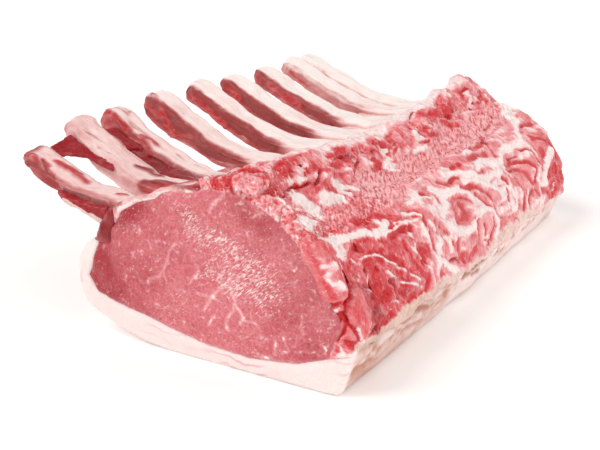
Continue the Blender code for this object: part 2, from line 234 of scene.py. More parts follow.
def ease(value, low, high):
    """0 below low, 1 above high, and a smooth step between them."""
    share = np.clip((value - low) / (high - low), 0, 1)
    return share * share * (3 - 2 * share)


def wander(points, size, reach, seed=0):
    """Points pushed about by noise, so that what is laid out along them gets uneven edges."""
    return points + reach * np.stack([lumps(points, size, seed + k) for k in range(3)], axis=1)


def path_distance(points, path):
    """How far each point is from a path of straight stretches, in millimetres."""
    best = np.full(len(points), 1e6)
    for start, end in zip(path, path[1:] if len(path) > 1 else path):
        start, run = np.array(start, float), np.array(end, float) - np.array(start, float)
        share = np.clip((points - start) @ run / max(run @ run, 1e-9), 0, 1)
        best = np.minimum(best, np.linalg.norm(points - start - share[:, None] * run, axis=1))
    return best


def painted(points, strokes, soft=0.5, wider=1.0):
    """How much each point is covered by strokes of (half width, path)."""
    cover = np.zeros(len(points))
    for half_width, *path in strokes:
        gap = path_distance(points, path) / wider
        cover = np.maximum(cover, 1 - ease(gap, half_width * (1 - soft), half_width * (1 + soft)))
    return cover


def network(points):
    """A net of thin lines that wander over the flesh, 1 on a line and 0 between them."""
    return 1 - ease(np.abs(lumps(wander(points, 2.5, 1.2, 77), 2.6, 90)), 0.03, 0.30)


def keep_mask(mesh, name, values):
    """Stores one number for each point of a mesh, for its material to read."""
    layer = mesh.attributes.new(name, "FLOAT", "POINT")
    layer.data.foreach_set("value", np.clip(values, 0, 1).astype(np.float32))


# Group "meat grain": lean, deep red, pale and fat colours laid over one another by masks, broken
# up by tone, by bundle grain, by small flecks of fat and by painted highlight glints on wet parts.
# Waxy outer fat lies over them, and a shade darkens what lies deep. The group also gives roughness
# and height.
FIBRE_TURN = 0.986  # how far the combed fibres are turned from straight across the rack
grain = bpy.data.node_groups.new("meat_grain", "ShaderNodeTree")
MASKS = ("deep", "pale", "fat", "wet", "coarse", "fibre", "dark", "wax")
for name in ("Lean", "Deep", "Pale", "Fat", "Wax"):
    grain.interface.new_socket(name=name, in_out="INPUT", socket_type="NodeSocketColor")
for name in MASKS:
    grain.interface.new_socket(name=name.title() + " Mask", in_out="INPUT", socket_type="NodeSocketFloat")
for name, value in (
    ("Bundle Scale", 700.0), ("Bundle Show", 0.3), ("Tone", 0.6), ("Flecks", 0.3), ("Fat Edge", 0.12),
    ("Dryness", 0.42), ("Spark Turn", 0.0), ("Speckle", 0.5), ("Break Up", 0.9),
):
    grain.interface.new_socket(name=name, in_out="INPUT", socket_type="NodeSocketFloat").default_value = value
socket = grain.interface.new_socket(name="Stretch", in_out="INPUT", socket_type="NodeSocketVector")
socket.default_value = (1, 1, 1)
for name, kind in (("Colour", "Color"), ("Roughness", "Float"), ("Height", "Float")):
    grain.interface.new_socket(name=name, in_out="OUTPUT", socket_type="NodeSocket" + kind)
given = grain.nodes.new("NodeGroupInput").outputs
result = grain.nodes.new("NodeGroupOutput")


def maths(operation, *values, clamp=False):
    """One sum of sockets and numbers, in the tree that the sockets belong to."""
    tree = next(value.id_data for value in values if isinstance(value, bpy.types.NodeSocket))
    return put(tree, "Math", dict(enumerate(values)), operation=operation, use_clamp=clamp).outputs[0]


def plus(first, second, clamp=False):
    return maths("ADD", first, second, clamp=clamp)


def less(first, second, clamp=False):
    """The first less the second."""
    return maths("SUBTRACT", first, second, clamp=clamp)


def times(first, second):
    return maths("MULTIPLY", first, second)


def vector(operation, first, second):
    """Two vectors added, subtracted or multiplied."""
    return put(first.id_data, "VectorMath", {0: first, 1: second}, operation=operation).outputs[0]


def noise(spot, scale, detail, **more):
    sockets = {"Vector": spot, "Scale": scale, "Detail": detail, **more}
    return put(spot.id_data, "TexNoise", sockets).outputs[0]


def blend(share, under, over):
    """One colour laid over another by a share."""
    return put(share.id_data, "Mix", {0: share, 6: under, 7: over}, data_type="RGBA").outputs[2]


def ramp(value, low, high, to_low=0.0, to_high=1.0):
    """A smooth step between two levels of a value."""
    sockets = {"Value": value, "From Min": low, "From Max": high, "To Min": to_low, "To Max": to_high}
    return put(value.id_data, "MapRange", sockets, interpolation_type="SMOOTHSTEP").outputs["Result"]


def mask(name):
    return given[name.title() + " Mask"]


where = put(grain, "TexCoord").outputs["Object"]
spread = vector("MULTIPLY", where, given["Stretch"])
push = put(grain, "TexNoise", {"Vector": spread, "Scale": 260.0, "Detail": 2.0}).outputs["Color"]
push = vector("MULTIPLY", vector("SUBTRACT", push, (0.5, 0.5, 0.5)), (0.003, 0.003, 0.003))
bent = vector("ADD", spread, push)
tone = noise(bent, 75.0, 4.0, Roughness=0.6)
mottle = noise(bent, 430.0, 3.0, Roughness=0.6)
fine = noise(spread, 1000.0, 2.0)
# Painted highlight: small white glints, more of them where the wet glint mask is high.
turned = put(grain, "VectorRotate", {"Vector": where, "Angle": given["Spark Turn"]}, rotation_type="Y_AXIS")
turned = vector("MULTIPLY", turned.outputs[0], (0.42, 1.15, 1.7))
painted_glint = noise(turned, 1000.0, 3.0, Roughness=0.6, Distortion=0.7)
painted_glint = ramp(plus(painted_glint, times(less(mask("wet"), 1.0), 0.22)), 0.49, 0.60)
lain = put(grain, "VectorRotate", {"Vector": where, "Angle": FIBRE_TURN}, rotation_type="Z_AXIS").outputs[0]
strand = noise(vector("MULTIPLY", lain, (0.2, 1.0, 0.7)), 950.0, 1.0)
strand = times(less(strand, 0.5), mask("fibre"))
half_coarse = times(mask("coarse"), 0.5)
bundle_show = plus(given["Bundle Show"], half_coarse)
fleck_show = plus(given["Flecks"], half_coarse, clamp=True)
bundle = {"Vector": bent, "Scale": given["Bundle Scale"]}
bundle = put(grain, "TexVoronoi", bundle, feature="DISTANCE_TO_EDGE").outputs["Distance"]
edge_line = ramp(bundle, 0.02, 0.16, 1.0, 0.0)

deepness = times(less(tone, 0.5), plus(given["Tone"], half_coarse))
deepness = plus(times(deepness, 3.0), mask("deep"), clamp=True)
colour = blend(deepness, given["Lean"], given["Deep"])
paleness = times(plus(times(less(mottle, 0.48), 2.2), 0.25), bundle_show)
paleness = plus(paleness, times(edge_line, times(bundle_show, 0.6)))
paleness = plus(plus(paleness, times(strand, 3.2)), mask("pale"), clamp=True)
paleness = times(paleness, less(1.0, times(deepness, 0.85)))
colour = blend(paleness, colour, given["Pale"])
fleck = times(ramp(mottle, 0.60, 0.68), times(fleck_show, less(1.0, times(deepness, 0.6))))
broken = plus(times(less(mottle, 0.5), given["Break Up"]), mask("fat"))
fatness = ramp(broken, less(0.45, given["Fat Edge"]), plus(0.45, given["Fat Edge"]))
colour = blend(maths("MAXIMUM", fatness, fleck), colour, given["Fat"])
# Painted highlight: the glints are laid into the colour in the fat colour.
colour = blend(times(painted_glint, 0.8), colour, given["Fat"])
waxed = plus(mask("wax"), times(less(mottle, 0.5), 1.2))
colour = blend(ramp(waxed, 0.3, 0.8), colour, given["Wax"])
shade = plus(plus(1.0, times(less(fine, 0.5), given["Speckle"])), times(strand, 1.3))
shade = times(shade, less(1.0, times(mask("dark"), 0.6)))
colour = put(grain, "VectorMath", {0: colour, "Scale": shade}, operation="SCALE").outputs[0]
dry = plus(given["Dryness"], times(less(mottle, 0.5), 0.35))
dry = less(dry, times(mask("wet"), 0.15), clamp=True)
height = plus(plus(times(mottle, 0.7), times(fine, 0.25)), times(bundle, 0.5))
height = plus(times(height, plus(1.0, mask("coarse"))), times(strand, 1.2))
fill(result, {"Colour": colour, "Roughness": dry, "Height": height})


def meat_material(name, lean, deep, pale, fat, bump=0.35, gloss=0.25, wax=(234, 199, 185), **numbers):
    """A moist raw finish: its five colours, and how its grain, flecks and gloss are set."""
    made, tree, shader = new_material(name)
    colours = {"Lean": lean, "Deep": deep, "Pale": pale, "Fat": fat, "Wax": wax}
    sockets = {socket: tint(*colour) for socket, colour in colours.items()}
    sockets.update((socket.replace("_", " ").title(), value) for socket, value in numbers.items())
    for each in MASKS:
        sockets[each.title() + " Mask"] = put(tree, "Attribute", attribute_name=each).outputs["Fac"]
    mixed = put(tree, "Group", sockets, node_tree=grain).outputs
    raised = put(tree, "Bump", {"Strength": bump, "Distance": 0.8 * MM, "Height": mixed["Height"]})
    fill(shader, {
        "Base Color": mixed["Colour"], "Roughness": mixed["Roughness"], "Normal": raised.outputs["Normal"],
        "Specular IOR Level": 0.17, "Coat Weight": gloss, "Coat Roughness": 0.1, "Subsurface Weight": 0.12,
        "Subsurface Radius": (1.0, 0.4, 0.3), "Subsurface Scale": 0.002,
    })
    return made


def sway(points):
    """One slow drift shared by all the flesh, so that the seams between its pieces wander together."""
    free = ease(points[:, 2], 14, 34)[:, None]
    return free * SWAY * np.stack([lumps(points, 9.0, 60 + k) for k in range(3)], axis=1)


def evened(mesh, values, rounds):
    """One number for each point of a mesh, averaged with its neighbours a number of times over."""
    pairs = np.empty(len(mesh.edges) * 2, dtype=np.int32)
    mesh.edges.foreach_get("vertices", pairs)
    first, second = pairs.reshape(-1, 2).T
    size = len(mesh.vertices)
    count = np.maximum(np.bincount(first, minlength=size) + np.bincount(second, minlength=size), 1)
    for _ in range(rounds):
        values = np.bincount(first, values[second], size) + np.bincount(second, values[first], size)
        values = values / count
    return values


def folds(mesh):
    """How deep each point lies in a crease, in millimetres; a ridge is negative."""
    points, outward = read_points(mesh)
    level = np.stack([evened(mesh, points[:, k], 3) for k in range(3)], axis=1)
    return evened(mesh, ((level - points) * outward).sum(axis=1), 1)


def dress(piece, nodes, slot, material, lift=0.0, drift=1.0, fold_shading=0.8, **masks):
    """Raises a piece's relief, paints shade in its creases and highlights on its ridges, stores its masks and
    material, and puts it in its nodes' place.
    """
    mesh = piece.data
    points, outward = read_points(mesh)
    raised = points + outward * np.broadcast_to(lift, len(points))[:, None]
    write_points(mesh, raised + drift * sway(points))
    depth = folds(mesh)
    # Painted shade: creases are painted deep red. Painted highlight: ridges are painted pale.
    masks["deep"] = masks.get("deep", 0.0) + fold_shading * ease(depth, 0.03, 0.28)
    masks["pale"] = masks.get("pale", 0.0) + 0.5 * fold_shading * ease(-depth, 0.04, 0.25)
    for each in MASKS:
        keep_mask(mesh, each, np.broadcast_to(masks.get(each, 0.0), len(points)))
    mesh.materials.clear()
    mesh.materials.append(material)
    mesh.shade_smooth()
    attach(piece, "root")
    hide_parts(*nodes)


# The two cut ends are finely faced; between them the muscle is hidden and stays plain.
ends = []
for name, low, high in (
    ("near_end", None, CUT_DEPTH - HALF_LENGTH), ("far_end", HALF_LENGTH - 2 * CUT_DEPTH, None),
):
    end = merged_copy("loin_eye")
    keep_between(end, low, high)
    ends.append(as_piece(name, end))
    even_skin(ends[-1], CUT_VOXEL, 2)
finer = bmesh.new()
finer.from_mesh(ends[0].data)
cut_face = [f for f in finer.faces if f.calc_center_median().y < FACE_DEPTH * MM and f.normal.y < -0.5]
cut_edges = list({edge for face in cut_face for edge in face.edges})
bmesh.ops.subdivide_edges(finer, edges=cut_edges, cuts=1, use_grid_fill=True)
finer.to_mesh(ends[0].data)
finer.free()
eye_shape = merged_copy("loin_eye")
keep_between(eye_shape, CUT_DEPTH - HALF_LENGTH, HALF_LENGTH - 2 * CUT_DEPTH)
for end in ends:
    eye_shape.from_mesh(end.data)
    bpy.data.objects.remove(end)
loin_eye = as_piece("eye_of_loin", eye_shape)

EYE_VEINS = (
    (0.55, (-14, -135, 53), (-17, -135, 49.5), (-21, -135, 40.5), (-24.5, -135, 36), (-29, -135, 34.5),
     (-31, -135, 31.5)),
    (0.5, (-21, -135, 40.5), (-21, -135, 34.5)), (0.45, (-37.5, -134.5, 43.5), (-38, -134.5, 41)),
    (0.55, (-34, -134, 57.5), (-34, -134.5, 53.5)),
    (0.5, (-3.5, -135, 32.5), (2, -135, 32), (4.5, -135, 31.5)),
    (0.55, (9, -135.5, 38), (6, -135.5, 35.5), (2, -135, 32), (-2, -135, 25.5)),
    (0.6, (13, -135.5, 40), (14.5, -135.5, 34), (10.5, -135, 23.5), (10.5, -134.5, 19)),
    (0.55, (14.5, -135, 32), (18, -135, 27.5), (17, -135, 24)), (0.5, (18, -135, 26), (25, -135, 26)),
    (0.5, (4.5, -135, 24), (0.5, -134.5, 19.5)),
    (0.5, (-8, -135.5, 36), (-6, -135.5, 38.5), (-3, -135.5, 42)), (0.5, (34, -134.5, 21), (33, -134, 14)),
    (0.5, (37.5, -134.5, 22), (40, -134.5, 17), (36.5, -134, 15)),
    (0.5, (47, -134, 34.5), (46, -134, 25.5)),
    (0.6, (10.5, -133.5, 80), (10, -134, 77), (6, -134, 74), (1.5, -134, 70)),
    (0.45, (26, -133.5, 73.5), (22.5, -134, 71)), (0.45, (-42, -134.5, 33), (-43.5, -134.5, 30)),
    (0.45, (-29.5, -134.5, 51.5), (-28.5, -135, 47)), (0.45, (26.5, -134, 11.5), (29, -133.5, 10.5)),
    (0.45, (43, -134, 17), (47.5, -134, 18.5), (53, -133.5, 18)),
    (0.45, (54, -133.5, 23.5), (56.5, -133.5, 21.5)),
)
# Where the cut face is wettest: its relief is finer there, and painted highlight glints gather there.
EYE_WET_GLINT = (
    (6.5, (-10, -134.5, 66), (-4.5, -135, 61)), (6, (0, -135, 60), (12.5, -135, 56.5)),
    (9.5, (13, -135.5, 52), (23, -135, 50), (28.5, -135, 46)),
    (7, (3, -135.5, 44), (17, -135.5, 40.5), (30, -135, 37)),
)
EYE_DEEP = (
    (7, (-56.5, -133.5, 35.5), (-57, -133.5, 28), (-52, -134, 26)),
    (5, (-42.5, -133, 59.5), (-32.5, -133, 65)),
    (6, (15, -133.5, 77.5), (22.5, -134, 71.5), (33.5, -133.5, 68.5)),
    (4, (35, -133.5, 67.5), (29, -134, 64.5)),
)
EYE_RIM = (
    12, (22, -134, 80), (31, -134, 74.5), (39.5, -134, 66.5), (45.5, -134, 59),
    (52, -134, 49.5), (58, -134, 40),
)
EYE_CREAM = (
    (9, (33.5, -134, 14.5), (45, -134, 18), (56.5, -133, 18)), (7, (36, -135, 28.5), (49.5, -134, 28)),
)

eye_points, eye_out = read_points(loin_eye.data)
eye_x, eye_y = eye_points.T[:2]
eye_near = ease(-eye_y, 120, 130)
eye_loose = wander(eye_points, 2.6, 0.5, 2)
eye_cream = painted(wander(eye_points, 9.0, 3.0, 14), EYE_CREAM, 0.9)
eye_net = 1 - ease(np.abs(lumps(wander(eye_points, 3.0, 1.2, 8), 3.4, 9)), 0.02, 0.16)
eye_vein = painted(eye_loose, EYE_VEINS, 0.95, 1.3)
eye_fat = 0.35 * eye_vein + 0.27 * (0.4 + 0.6 * eye_cream) * eye_net * eye_near
eye_rim = painted(wander(eye_points, 6.0, 2.0, 21), [EYE_RIM], 0.75) * eye_near
eye_web = network(eye_points)
eye_fat = np.maximum(eye_fat, 0.36 * eye_rim * eye_web)
eye_pale = 0.18 * eye_rim + 0.75 * eye_vein + 0.7 * (0.12 + 0.5 * eye_cream) * eye_net * eye_near
eye_deep = 0.5 * painted(wander(eye_points, 12.0, 4.0, 5), EYE_DEEP, 0.95)
eye_deep = eye_deep + 0.55 * ease(-eye_x, 5, 55) + 0.40 * ease(eye_x, 15, 50)
eye_deep = eye_deep + 0.12 * lumps(eye_points, 14.0, 4) + 0.1
# Painted highlight: glints over the near face, densest in the listed wet band.
eye_wet = painted(wander(eye_points, 8.0, 3.0, 12), EYE_WET_GLINT, 0.95)
eye_wet = eye_near * np.maximum(eye_wet, 0.3 + 0.25 * lumps(eye_points, 12.0, 11))
eye_rise = MEET + 0.14 * rough(eye_points, 5.0, 3) + 0.2 * lumps(eye_points, 17.0, 9)
eye_rise = eye_rise + 0.25 * eye_wet * lumps(eye_points * (0.6, 1, 1.2), 2.6, 10)
eye_rise = eye_rise + 0.35 * (1 - np.abs(eye_out[:, 1]))
eye_material = meat_material(
    "cut_lean", (212, 100, 110), (170, 40, 52), (240, 168, 172), (255, 236, 232),
    bump=0.5, gloss=0.28, tone=0.35, bundle_scale=560.0, bundle_show=0.42, flecks=0.4, fat_edge=0.16,
    speckle=0.4, dryness=0.36, spark_turn=0.65,
)
dress(
    loin_eye, ["loin_eye"], "lean", eye_material, eye_rise,
    deep=eye_deep, pale=eye_pale, fat=eye_fat, wet=eye_wet,
)

# ---------------------------------------------------------------------------------------------
# The fat cap: the thick back fat under and around the eye, trimmed with a knife. Its cut end is
# nearly white, with faint pink layers that follow its outer skin; its side is waxy and creased. Its
# side is painted a darker warm tan, partly rind colour and partly painted shade, with painted shade
# in its creases and folds and a painted contact shadow along its foot.
LAYER_REACH = 20.0  # the pink layers are drawn as far in from the rind as this
FLAT_SOLE = 1.5  # the fat stays flat below this height, where it lies on the table
RIND = ((62, 2), (57, 0), (16, 0), (-26, 0), (-47, 4.5), (-68, 13.5), (-72.4, 29), (-67.5, 42), (-60, 45.6))
FAT_CREASES = (
    (0.5, (66, -17.5, 12), (66.5, -10.5, 12.5), (65.5, 0, 10)),
    (0.5, (66, -18.5, 12), (66.5, -14, 15), (66.5, -4, 14), (66.5, 7.5, 14)),
    (0.5, (66, 14.5, 16), (66.5, 21.5, 17.5), (66, 27, 17)),
    (0.5, (67.5, -115, 22), (67.5, -96.5, 18), (67, -78.5, 16.5)), (0.4, (66.5, -12, 19), (66.5, -21.5, 18)),
    (0.5, (67, -88.5, 18), (67, -73.5, 16.5), (66.5, -58.5, 13.5)),
)
fat_cap = flesh_copy("fat_cap_rind", "fat_cap", 1.3, 2)
fat_points = read_points(fat_cap.data)[0]
fat_x, fat_y, fat_z = fat_points.T
rind_path = [(x, 0, z) for x, z in RIND]
fat_layer = path_distance(fat_points * (1, 0, 1), rind_path)
fat_wall = ease(fat_x + 0.9 * np.clip(8 - fat_z, 0, 8), 60.5, 65) * ease(fat_y, -131, -126)
# Painted shade: the side wall is painted a darker warm tan, partly rind colour and partly shade, with a
# darker band at its foot as a painted contact shadow.
fat_wall_tan_and_shade = 0.60 + 0.20 * rough(fat_points * (1, 0.4, 1.6), 6.0, 5) + 0.4 * ease(-fat_z, -4.5, -1.0)
fat_wall_tan_and_shade = fat_wall * (fat_wall_tan_and_shade - 0.42 * ease(fat_y, -60, -10) + 0.15 * ease(fat_y, 50, 125))
# Painted shade: the creases and folds are pressed in, and are also painted tan and darker as shade lying in
# them.
fat_crease = painted(wander(fat_points, 5.0, 0.9, 6), FAT_CREASES, 0.8, 1.9)
fat_folds = ease(lumps(wander(fat_points, 6.0, 2.0, 18) * (1, 0.3, 1), 3.4, 7), 0.0, 0.5)
fat_folds = fat_folds + 0.7 * ease(lumps(wander(fat_points, 4.0, 1.5, 19) * (1, 0.4, 1), 1.9, 8), 0.1, 0.5)
fat_folds = fat_folds * fat_wall * ease(fat_z, 4, 12)
fat_rise = MEET + 0.22 * rough(fat_points, 9.0, 5) - 1.2 * fat_crease - 0.75 * fat_folds
fat_rise = fat_rise + fat_wall * 0.8 * lumps(fat_points * (1, 0.6, 1), 12.0, 17)
fat_material = meat_material(
    "back_fat", (252, 231, 229), (196, 138, 116), (252, 238, 234), (254, 242, 236),
    bump=0.3, gloss=0.12, tone=0.2, bundle_scale=350.0, bundle_show=0.3, flecks=0.1,
    dryness=0.5, speckle=0.18,
)
# Faint pink layers, drawn where the distance from the rind passes each few millimetres.
tree = fat_material.node_tree
shader = tree.nodes["Principled BSDF"]
plain_fat = shader.inputs["Base Color"].links[0].from_socket
layer = put(tree, "Attribute", attribute_name="layer").outputs["Fac"]
cut_share = put(tree, "Attribute", attribute_name="cut").outputs["Fac"]
spot = put(tree, "TexCoord").outputs["Object"]
beat = maths("SINE", plus(times(layer, 24.0), times(noise(spot, 45.0, 3.0), 16.0)))
line = times(times(ramp(beat, 0.55, 1.0), ramp(noise(spot, 28.0, 2.0), 0.45, 0.62)), cut_share)
fill(shader, {"Base Color": blend(times(line, 0.8), plain_fat, tint(236, 182, 184))})
keep_mask(fat_cap.data, "layer", fat_layer / LAYER_REACH)
keep_mask(fat_cap.data, "cut", ease(-fat_y, 128, 131) + ease(fat_y, 124, 127))
fat_rise = np.where(fat_z < FLAT_SOLE, 0.0, fat_rise)
# deep and dark carry the painted shade of the tan wall, of its creases and folds, and of the contact shadow
# at its foot.
dress(
    fat_cap, ["fat_cap"], "fat", fat_material, fat_rise,
    deep=np.clip(fat_wall_tan_and_shade + fat_crease + 0.35 * fat_folds, 0, 1),
    dark=0.35 * fat_crease + 0.28 * fat_wall * ease(-fat_z, -2.6, -0.4),
)

# ---------------------------------------------------------------------------------------------
# The flank strip: a dark strap of belly muscle, cut across with the loin. It shows between the fat
# wrap and the rib bed, darkest and wettest at the near face.
flank = flesh_copy("flank_strap", "flank_strip", 0.9)
flank_points = read_points(flank.data)[0]
flank_material = meat_material(
    "dark_strap", (190, 40, 54), (150, 6, 22), (226, 150, 150), (248, 216, 208),
    bump=0.4, gloss=0.4, tone=0.5, bundle_scale=600.0, bundle_show=0.25, flecks=0.15, dryness=0.32,
)
flank_near = ease(-flank_points[:, 1], 120, 128)
flank_pale = 0.8 * ease(flank_points[:, 1], -118, -100) * (0.6 + 0.4 * lumps(flank_points, 9.0, 6))
dress(
    flank, ["flank_strip"], "dark_lean", flank_material,
    MEET + 0.7 * rough(flank_points, 7.0, 6) + 0.9 * flank_near, fold_shading=0.1,
    pale=flank_pale, deep=0.85 * flank_near * ease(flank_points[:, 2], 43, 49),
    coarse=0.2 * (1 - flank_near), dark=0.3 * flank_near,
)

# ---------------------------------------------------------------------------------------------
# The rib bed: the pale, moist membrane and thin meat between the bones and the eye. Its cut edge
# is a cream line along the top of the near face, and torn red flesh lies by the first ribs.
BED_CREAM = ((1.0, (-46, -132.5, 61.5), (-35, -132.5, 67.5), (-18, -132.5, 74.5), (-3.5, -133, 77.5)),)
BED_RED = (
    (3.8, (-62, -96.5, 59), (-58, -96.5, 58.5), (-55, -94, 59.5)),
    (3.8, (-54.5, -93.5, 59.5), (-49, -92, 59.5)), (0.8, (-55.5, -126.5, 60.5), (-43.5, -132.5, 65)),
    (0.9, (-47, -89, 59.5), (-45.5, -85, 60), (-43, -80, 60.5)),
    (0.7, (14, -112.5, 84.5), (15, -104.5, 83.5)), (0.7, (-55.5, -34, 53), (-46.5, -34, 53.5)),
)
bed = flesh_copy("rib_bed_membrane", "rib_bed", 0.8)
bed_points = read_points(bed.data)[0]
bed_x, bed_y = bed_points.T[:2]
bed_material = meat_material(
    "bed_membrane", (236, 166, 164), (160, 16, 28), (250, 214, 210), (253, 234, 228),
    bump=0.45, gloss=0.35, tone=0.35, bundle_scale=500.0, bundle_show=0.5, flecks=0.3, dryness=0.34,
    stretch=(0.3, 1, 0.6),
)
bed_red = painted(wander(bed_points, 4.0, 0.8, 13), BED_RED, 0.7, 1.3)
bed_cream = painted(wander(bed_points, 4.0, 0.6, 3), BED_CREAM, 0.6)
bed_near = ease(-bed_y, 40, 95)
bed_streaks = lumps(bed_points * (0.22, 1, 0.5), 2.4, 7)
bed_deep = bed_near * (0.35 + 0.9 * rough(bed_points * (0.5, 1, 1), 7.0, 9)) * (1 - bed_cream)
bed_deep = np.clip(bed_deep, 0, 1)
bed_deep = bed_deep + 0.35 * ease(bed_x, -16, -5) * ease(rough(bed_points, 8.0, 19), -0.2, 0.7)
bed_pale = 0.55 - 0.6 * bed_near + 0.3 * lumps(bed_points, 12.0, 21)
bed_rise = MEET + 0.3 * rough(bed_points, 6.0, 7) + 0.28 * bed_streaks + 0.3 * bed_cream
dress(
    bed, ["rib_bed"], "membrane", bed_material, bed_rise,
    deep=bed_deep + bed_red, fat=0.62 * bed_cream, pale=bed_pale, wet=0.35,
)

# ---------------------------------------------------------------------------------------------
# The chine ridge: the sawn-through vertebrae, a broken crest of spongy bone, red marrow and fat.
# The feather strip beside it is a long pale muscle, combed across by its fibres.
CREST_RED = (
    (2, (17, -59.5, 75), (17, -52, 74), (19, -49.5, 72.5)), (1.2, (19.5, -59, 73), (20.5, -66.5, 74)),
    (0.6, (16.5, -39.5, 73), (19.5, -40, 70.5), (23, -48, 68.5), (25.5, -56.5, 67.5)),
    (2, (17, -30.5, 70), (17.5, -23, 68.5), (19.5, -19, 67)),
    (1.7, (20.5, -28, 67), (23, -26.5, 64.5), (24, -33.5, 65)), (1.2, (15, -15, 71), (16, -8.5, 69.5)),
    (0.6, (17, -15, 69.5), (19, -17.5, 67.5)), (0.8, (21, -10.5, 65.5), (21, -9, 65)),
    (0.7, (16.5, 4.5, 67.5), (19.5, -0.5, 65.5), (22.5, -7.5, 64)), (1, (13.5, 25.5, 70.5), (16, 24, 68.5)),
    (2, (13, 42.5, 70.5), (14, 52, 70), (16.5, 51, 67.5), (17, 43, 67)),
    (1.9, (12.5, 78, 71), (14.5, 76, 68), (15.5, 69.5, 67), (14.5, 63, 67)),
    (1.6, (5.5, 102, 73), (9.5, 99.5, 70.5), (12, 98.5, 68.5)),
    (1.2, (13.5, 118, 68), (17, 112.5, 66), (19.5, 106.5, 64.5)), (0.8, (22.5, 20.5, 63), (23.5, 28, 62.5)),
    (1.6, (17.5, 37, 66.5), (21, 34, 64)), (0.6, (25, 103.5, 61), (30, 97.5, 59)),
    (0.6, (31, 92.5, 59), (35, 78.5, 57.5)),
    (2.2, (13.5, -96.5, 82.5), (15, -94, 81.5), (18, -102, 81.5), (18.5, -109, 81.5)),
    (1.4, (13, -91, 81.5), (13.5, -84, 81.5)),
    (0.9, (19.5, -111.5, 81.5), (21.5, -113, 80), (25, -123, 80.5), (29, -128.5, 79.5)),
    (1, (22, -79, 75), (23.5, -71, 72), (23.5, -62, 69.5)),
    (1.4, (9.5, -132.5, 83.5), (12, -133, 83.5), (10.5, -133, 81.5)),
    (0.7, (15, -132.5, 86.5), (16, -133, 83)), (1.3, (47.5, -96, 61.5), (48.5, -87.5, 60), (49, -81, 59)),
    (1.6, (19.5, 55.5, 64.5), (22, 59.5, 63), (23.5, 65.5, 62.5)),
    (1.5, (43.5, 37, 58), (43.5, 46, 57.5), (42, 58, 57)),
    (1.2, (48, 22, 58.5), (47.5, 38, 56), (48, 48, 55)), (1.2, (47.5, 4.5, 59), (49, 11.5, 58.5)),
    (0.8, (19.5, -87.5, 77.5), (21, -91.5, 76.5)), (2.4, (18, -108.5, 82), (14, -90.5, 81.5)),
    (2.2, (6.5, -132.5, 81.5), (12.5, -133, 83.5)),
)
CREST_CRACKS = (
    (0.5, (29, -119.5, 76.5), (25, -112, 76.5), (24, -105, 75), (23.5, -99.5, 74), (24, -93, 73.5)),
    (0.6, (21.5, -79.5, 76), (23.5, -83.5, 73.5), (25.5, -91, 72)),
    (0.5, (17, 52.5, 66.5), (20, 51, 64), (22.5, 51, 62.5)),
    (0.5, (16, 75.5, 67.5), (19.5, 75, 64.5), (23, 71.5, 62.5)),
    (0.8, (24.5, -132.5, 80.5), (25.5, -130.5, 82)),
    (0.5, (13, -133.5, 80.5), (16.5, -133.5, 79.5), (20, -133, 78.5), (23.5, -132.5, 79.5)),
    (0.5, (26.5, -125, 80.5), (29.5, -130, 79.5)), (0.5, (16.5, -35, 72), (20, -40, 70.5), (23, -49, 68.5)),
    (0.6, (39, 63.5, 57.5), (43, 57, 57)), (0.5, (41, 61.5, 57), (47, 56, 55), (50, 54.5, 52)),
    (0.4, (10, 35.5, 70.5), (8, 43, 72.5)),
)
CREST_FAT = (
    (3.6, (27, -109.5, 72.5), (29, -105.5, 69.5), (33, -104.5, 66)),
    (2.6, (41, -122, 69), (43.5, -128, 68.5)), (2.2, (30.6, -92, 67.4), (33, -80, 64.8)),
    (1.2, (40, -126.5, 71.5), (40.5, -117, 67)),
    (1.3, (22.5, -111.5, 78.5), (21.5, -101.5, 77.5), (22.5, -96.5, 75.5)),
    (1, (31, -129, 78.5), (34, -128.5, 76), (37.5, -130, 74.5)),
    (1.2, (31.5, -95.5, 66.5), (33.5, -88.5, 65)),
    (1.5, (27.5, -73.5, 68.5), (29, -67.5, 66), (31, -63.5, 64)),
    (2, (19.5, -11.5, 67), (22, -11, 64), (25, -14, 62.5), (25.5, -22, 62)),
    (1.6, (18, 23.5, 67), (20.5, 21, 64.5), (21, 26, 64.5)),
    (1.1, (24.5, 9, 61.5), (25, 16.5, 61), (25.5, 21, 61)), (0.8, (28, -21.5, 60.5), (30, -16.5, 59.5)),
    (1.4, (50.5, -81, 57.5), (53, -79.5, 55.5), (52, -74, 56.5)), (1.2, (8, 83.5, 73.5), (9.5, 86.5, 72)),
    (0.9, (11.5, 104, 70.5), (15.5, 105, 67), (19, 100.5, 64.5)), (1, (22, -59.5, 70.5), (22.5, -55, 70)),
    (2, (26.5, 123.5, 60), (34, 114.5, 57.5), (40, 106, 56)), (0.7, (8.5, 64, 70.5), (13.5, 60, 69)),
    (0.8, (26, -76.5, 71), (25.5, -70, 69.5)), (1.2, (29.5, -74, 66.5), (33, -71.5, 63.5)),
)
COMB = ((12.5, (35, -50, 61), (30, 3, 59), (29, 52, 59.5), (27, 108, 60)),)
DARK_PATCH = ((8.5, (41, -104, 64), (40, -85, 63), (41, -67, 61.5)),)
VERTEBRA = (19.5, -132.0, 83.0)  # the middle of the nearest vertebra's sawn face
WAX_TOP = (  # depth, and how high the fat reaches up the side
    (-123.6, -112, -103, -92.6, -84.8, -70.8, -60, -47, -33.5, -18, -6, 10.6, 24, 38, 56, 75, 96),
    (23.8, 21.9, 22.4, 23.7, 24.9, 22.3, 23, 24.1, 21.4, 18, 18.9, 19.6, 22.7, 23.6, 22.4, 20, 17),
)
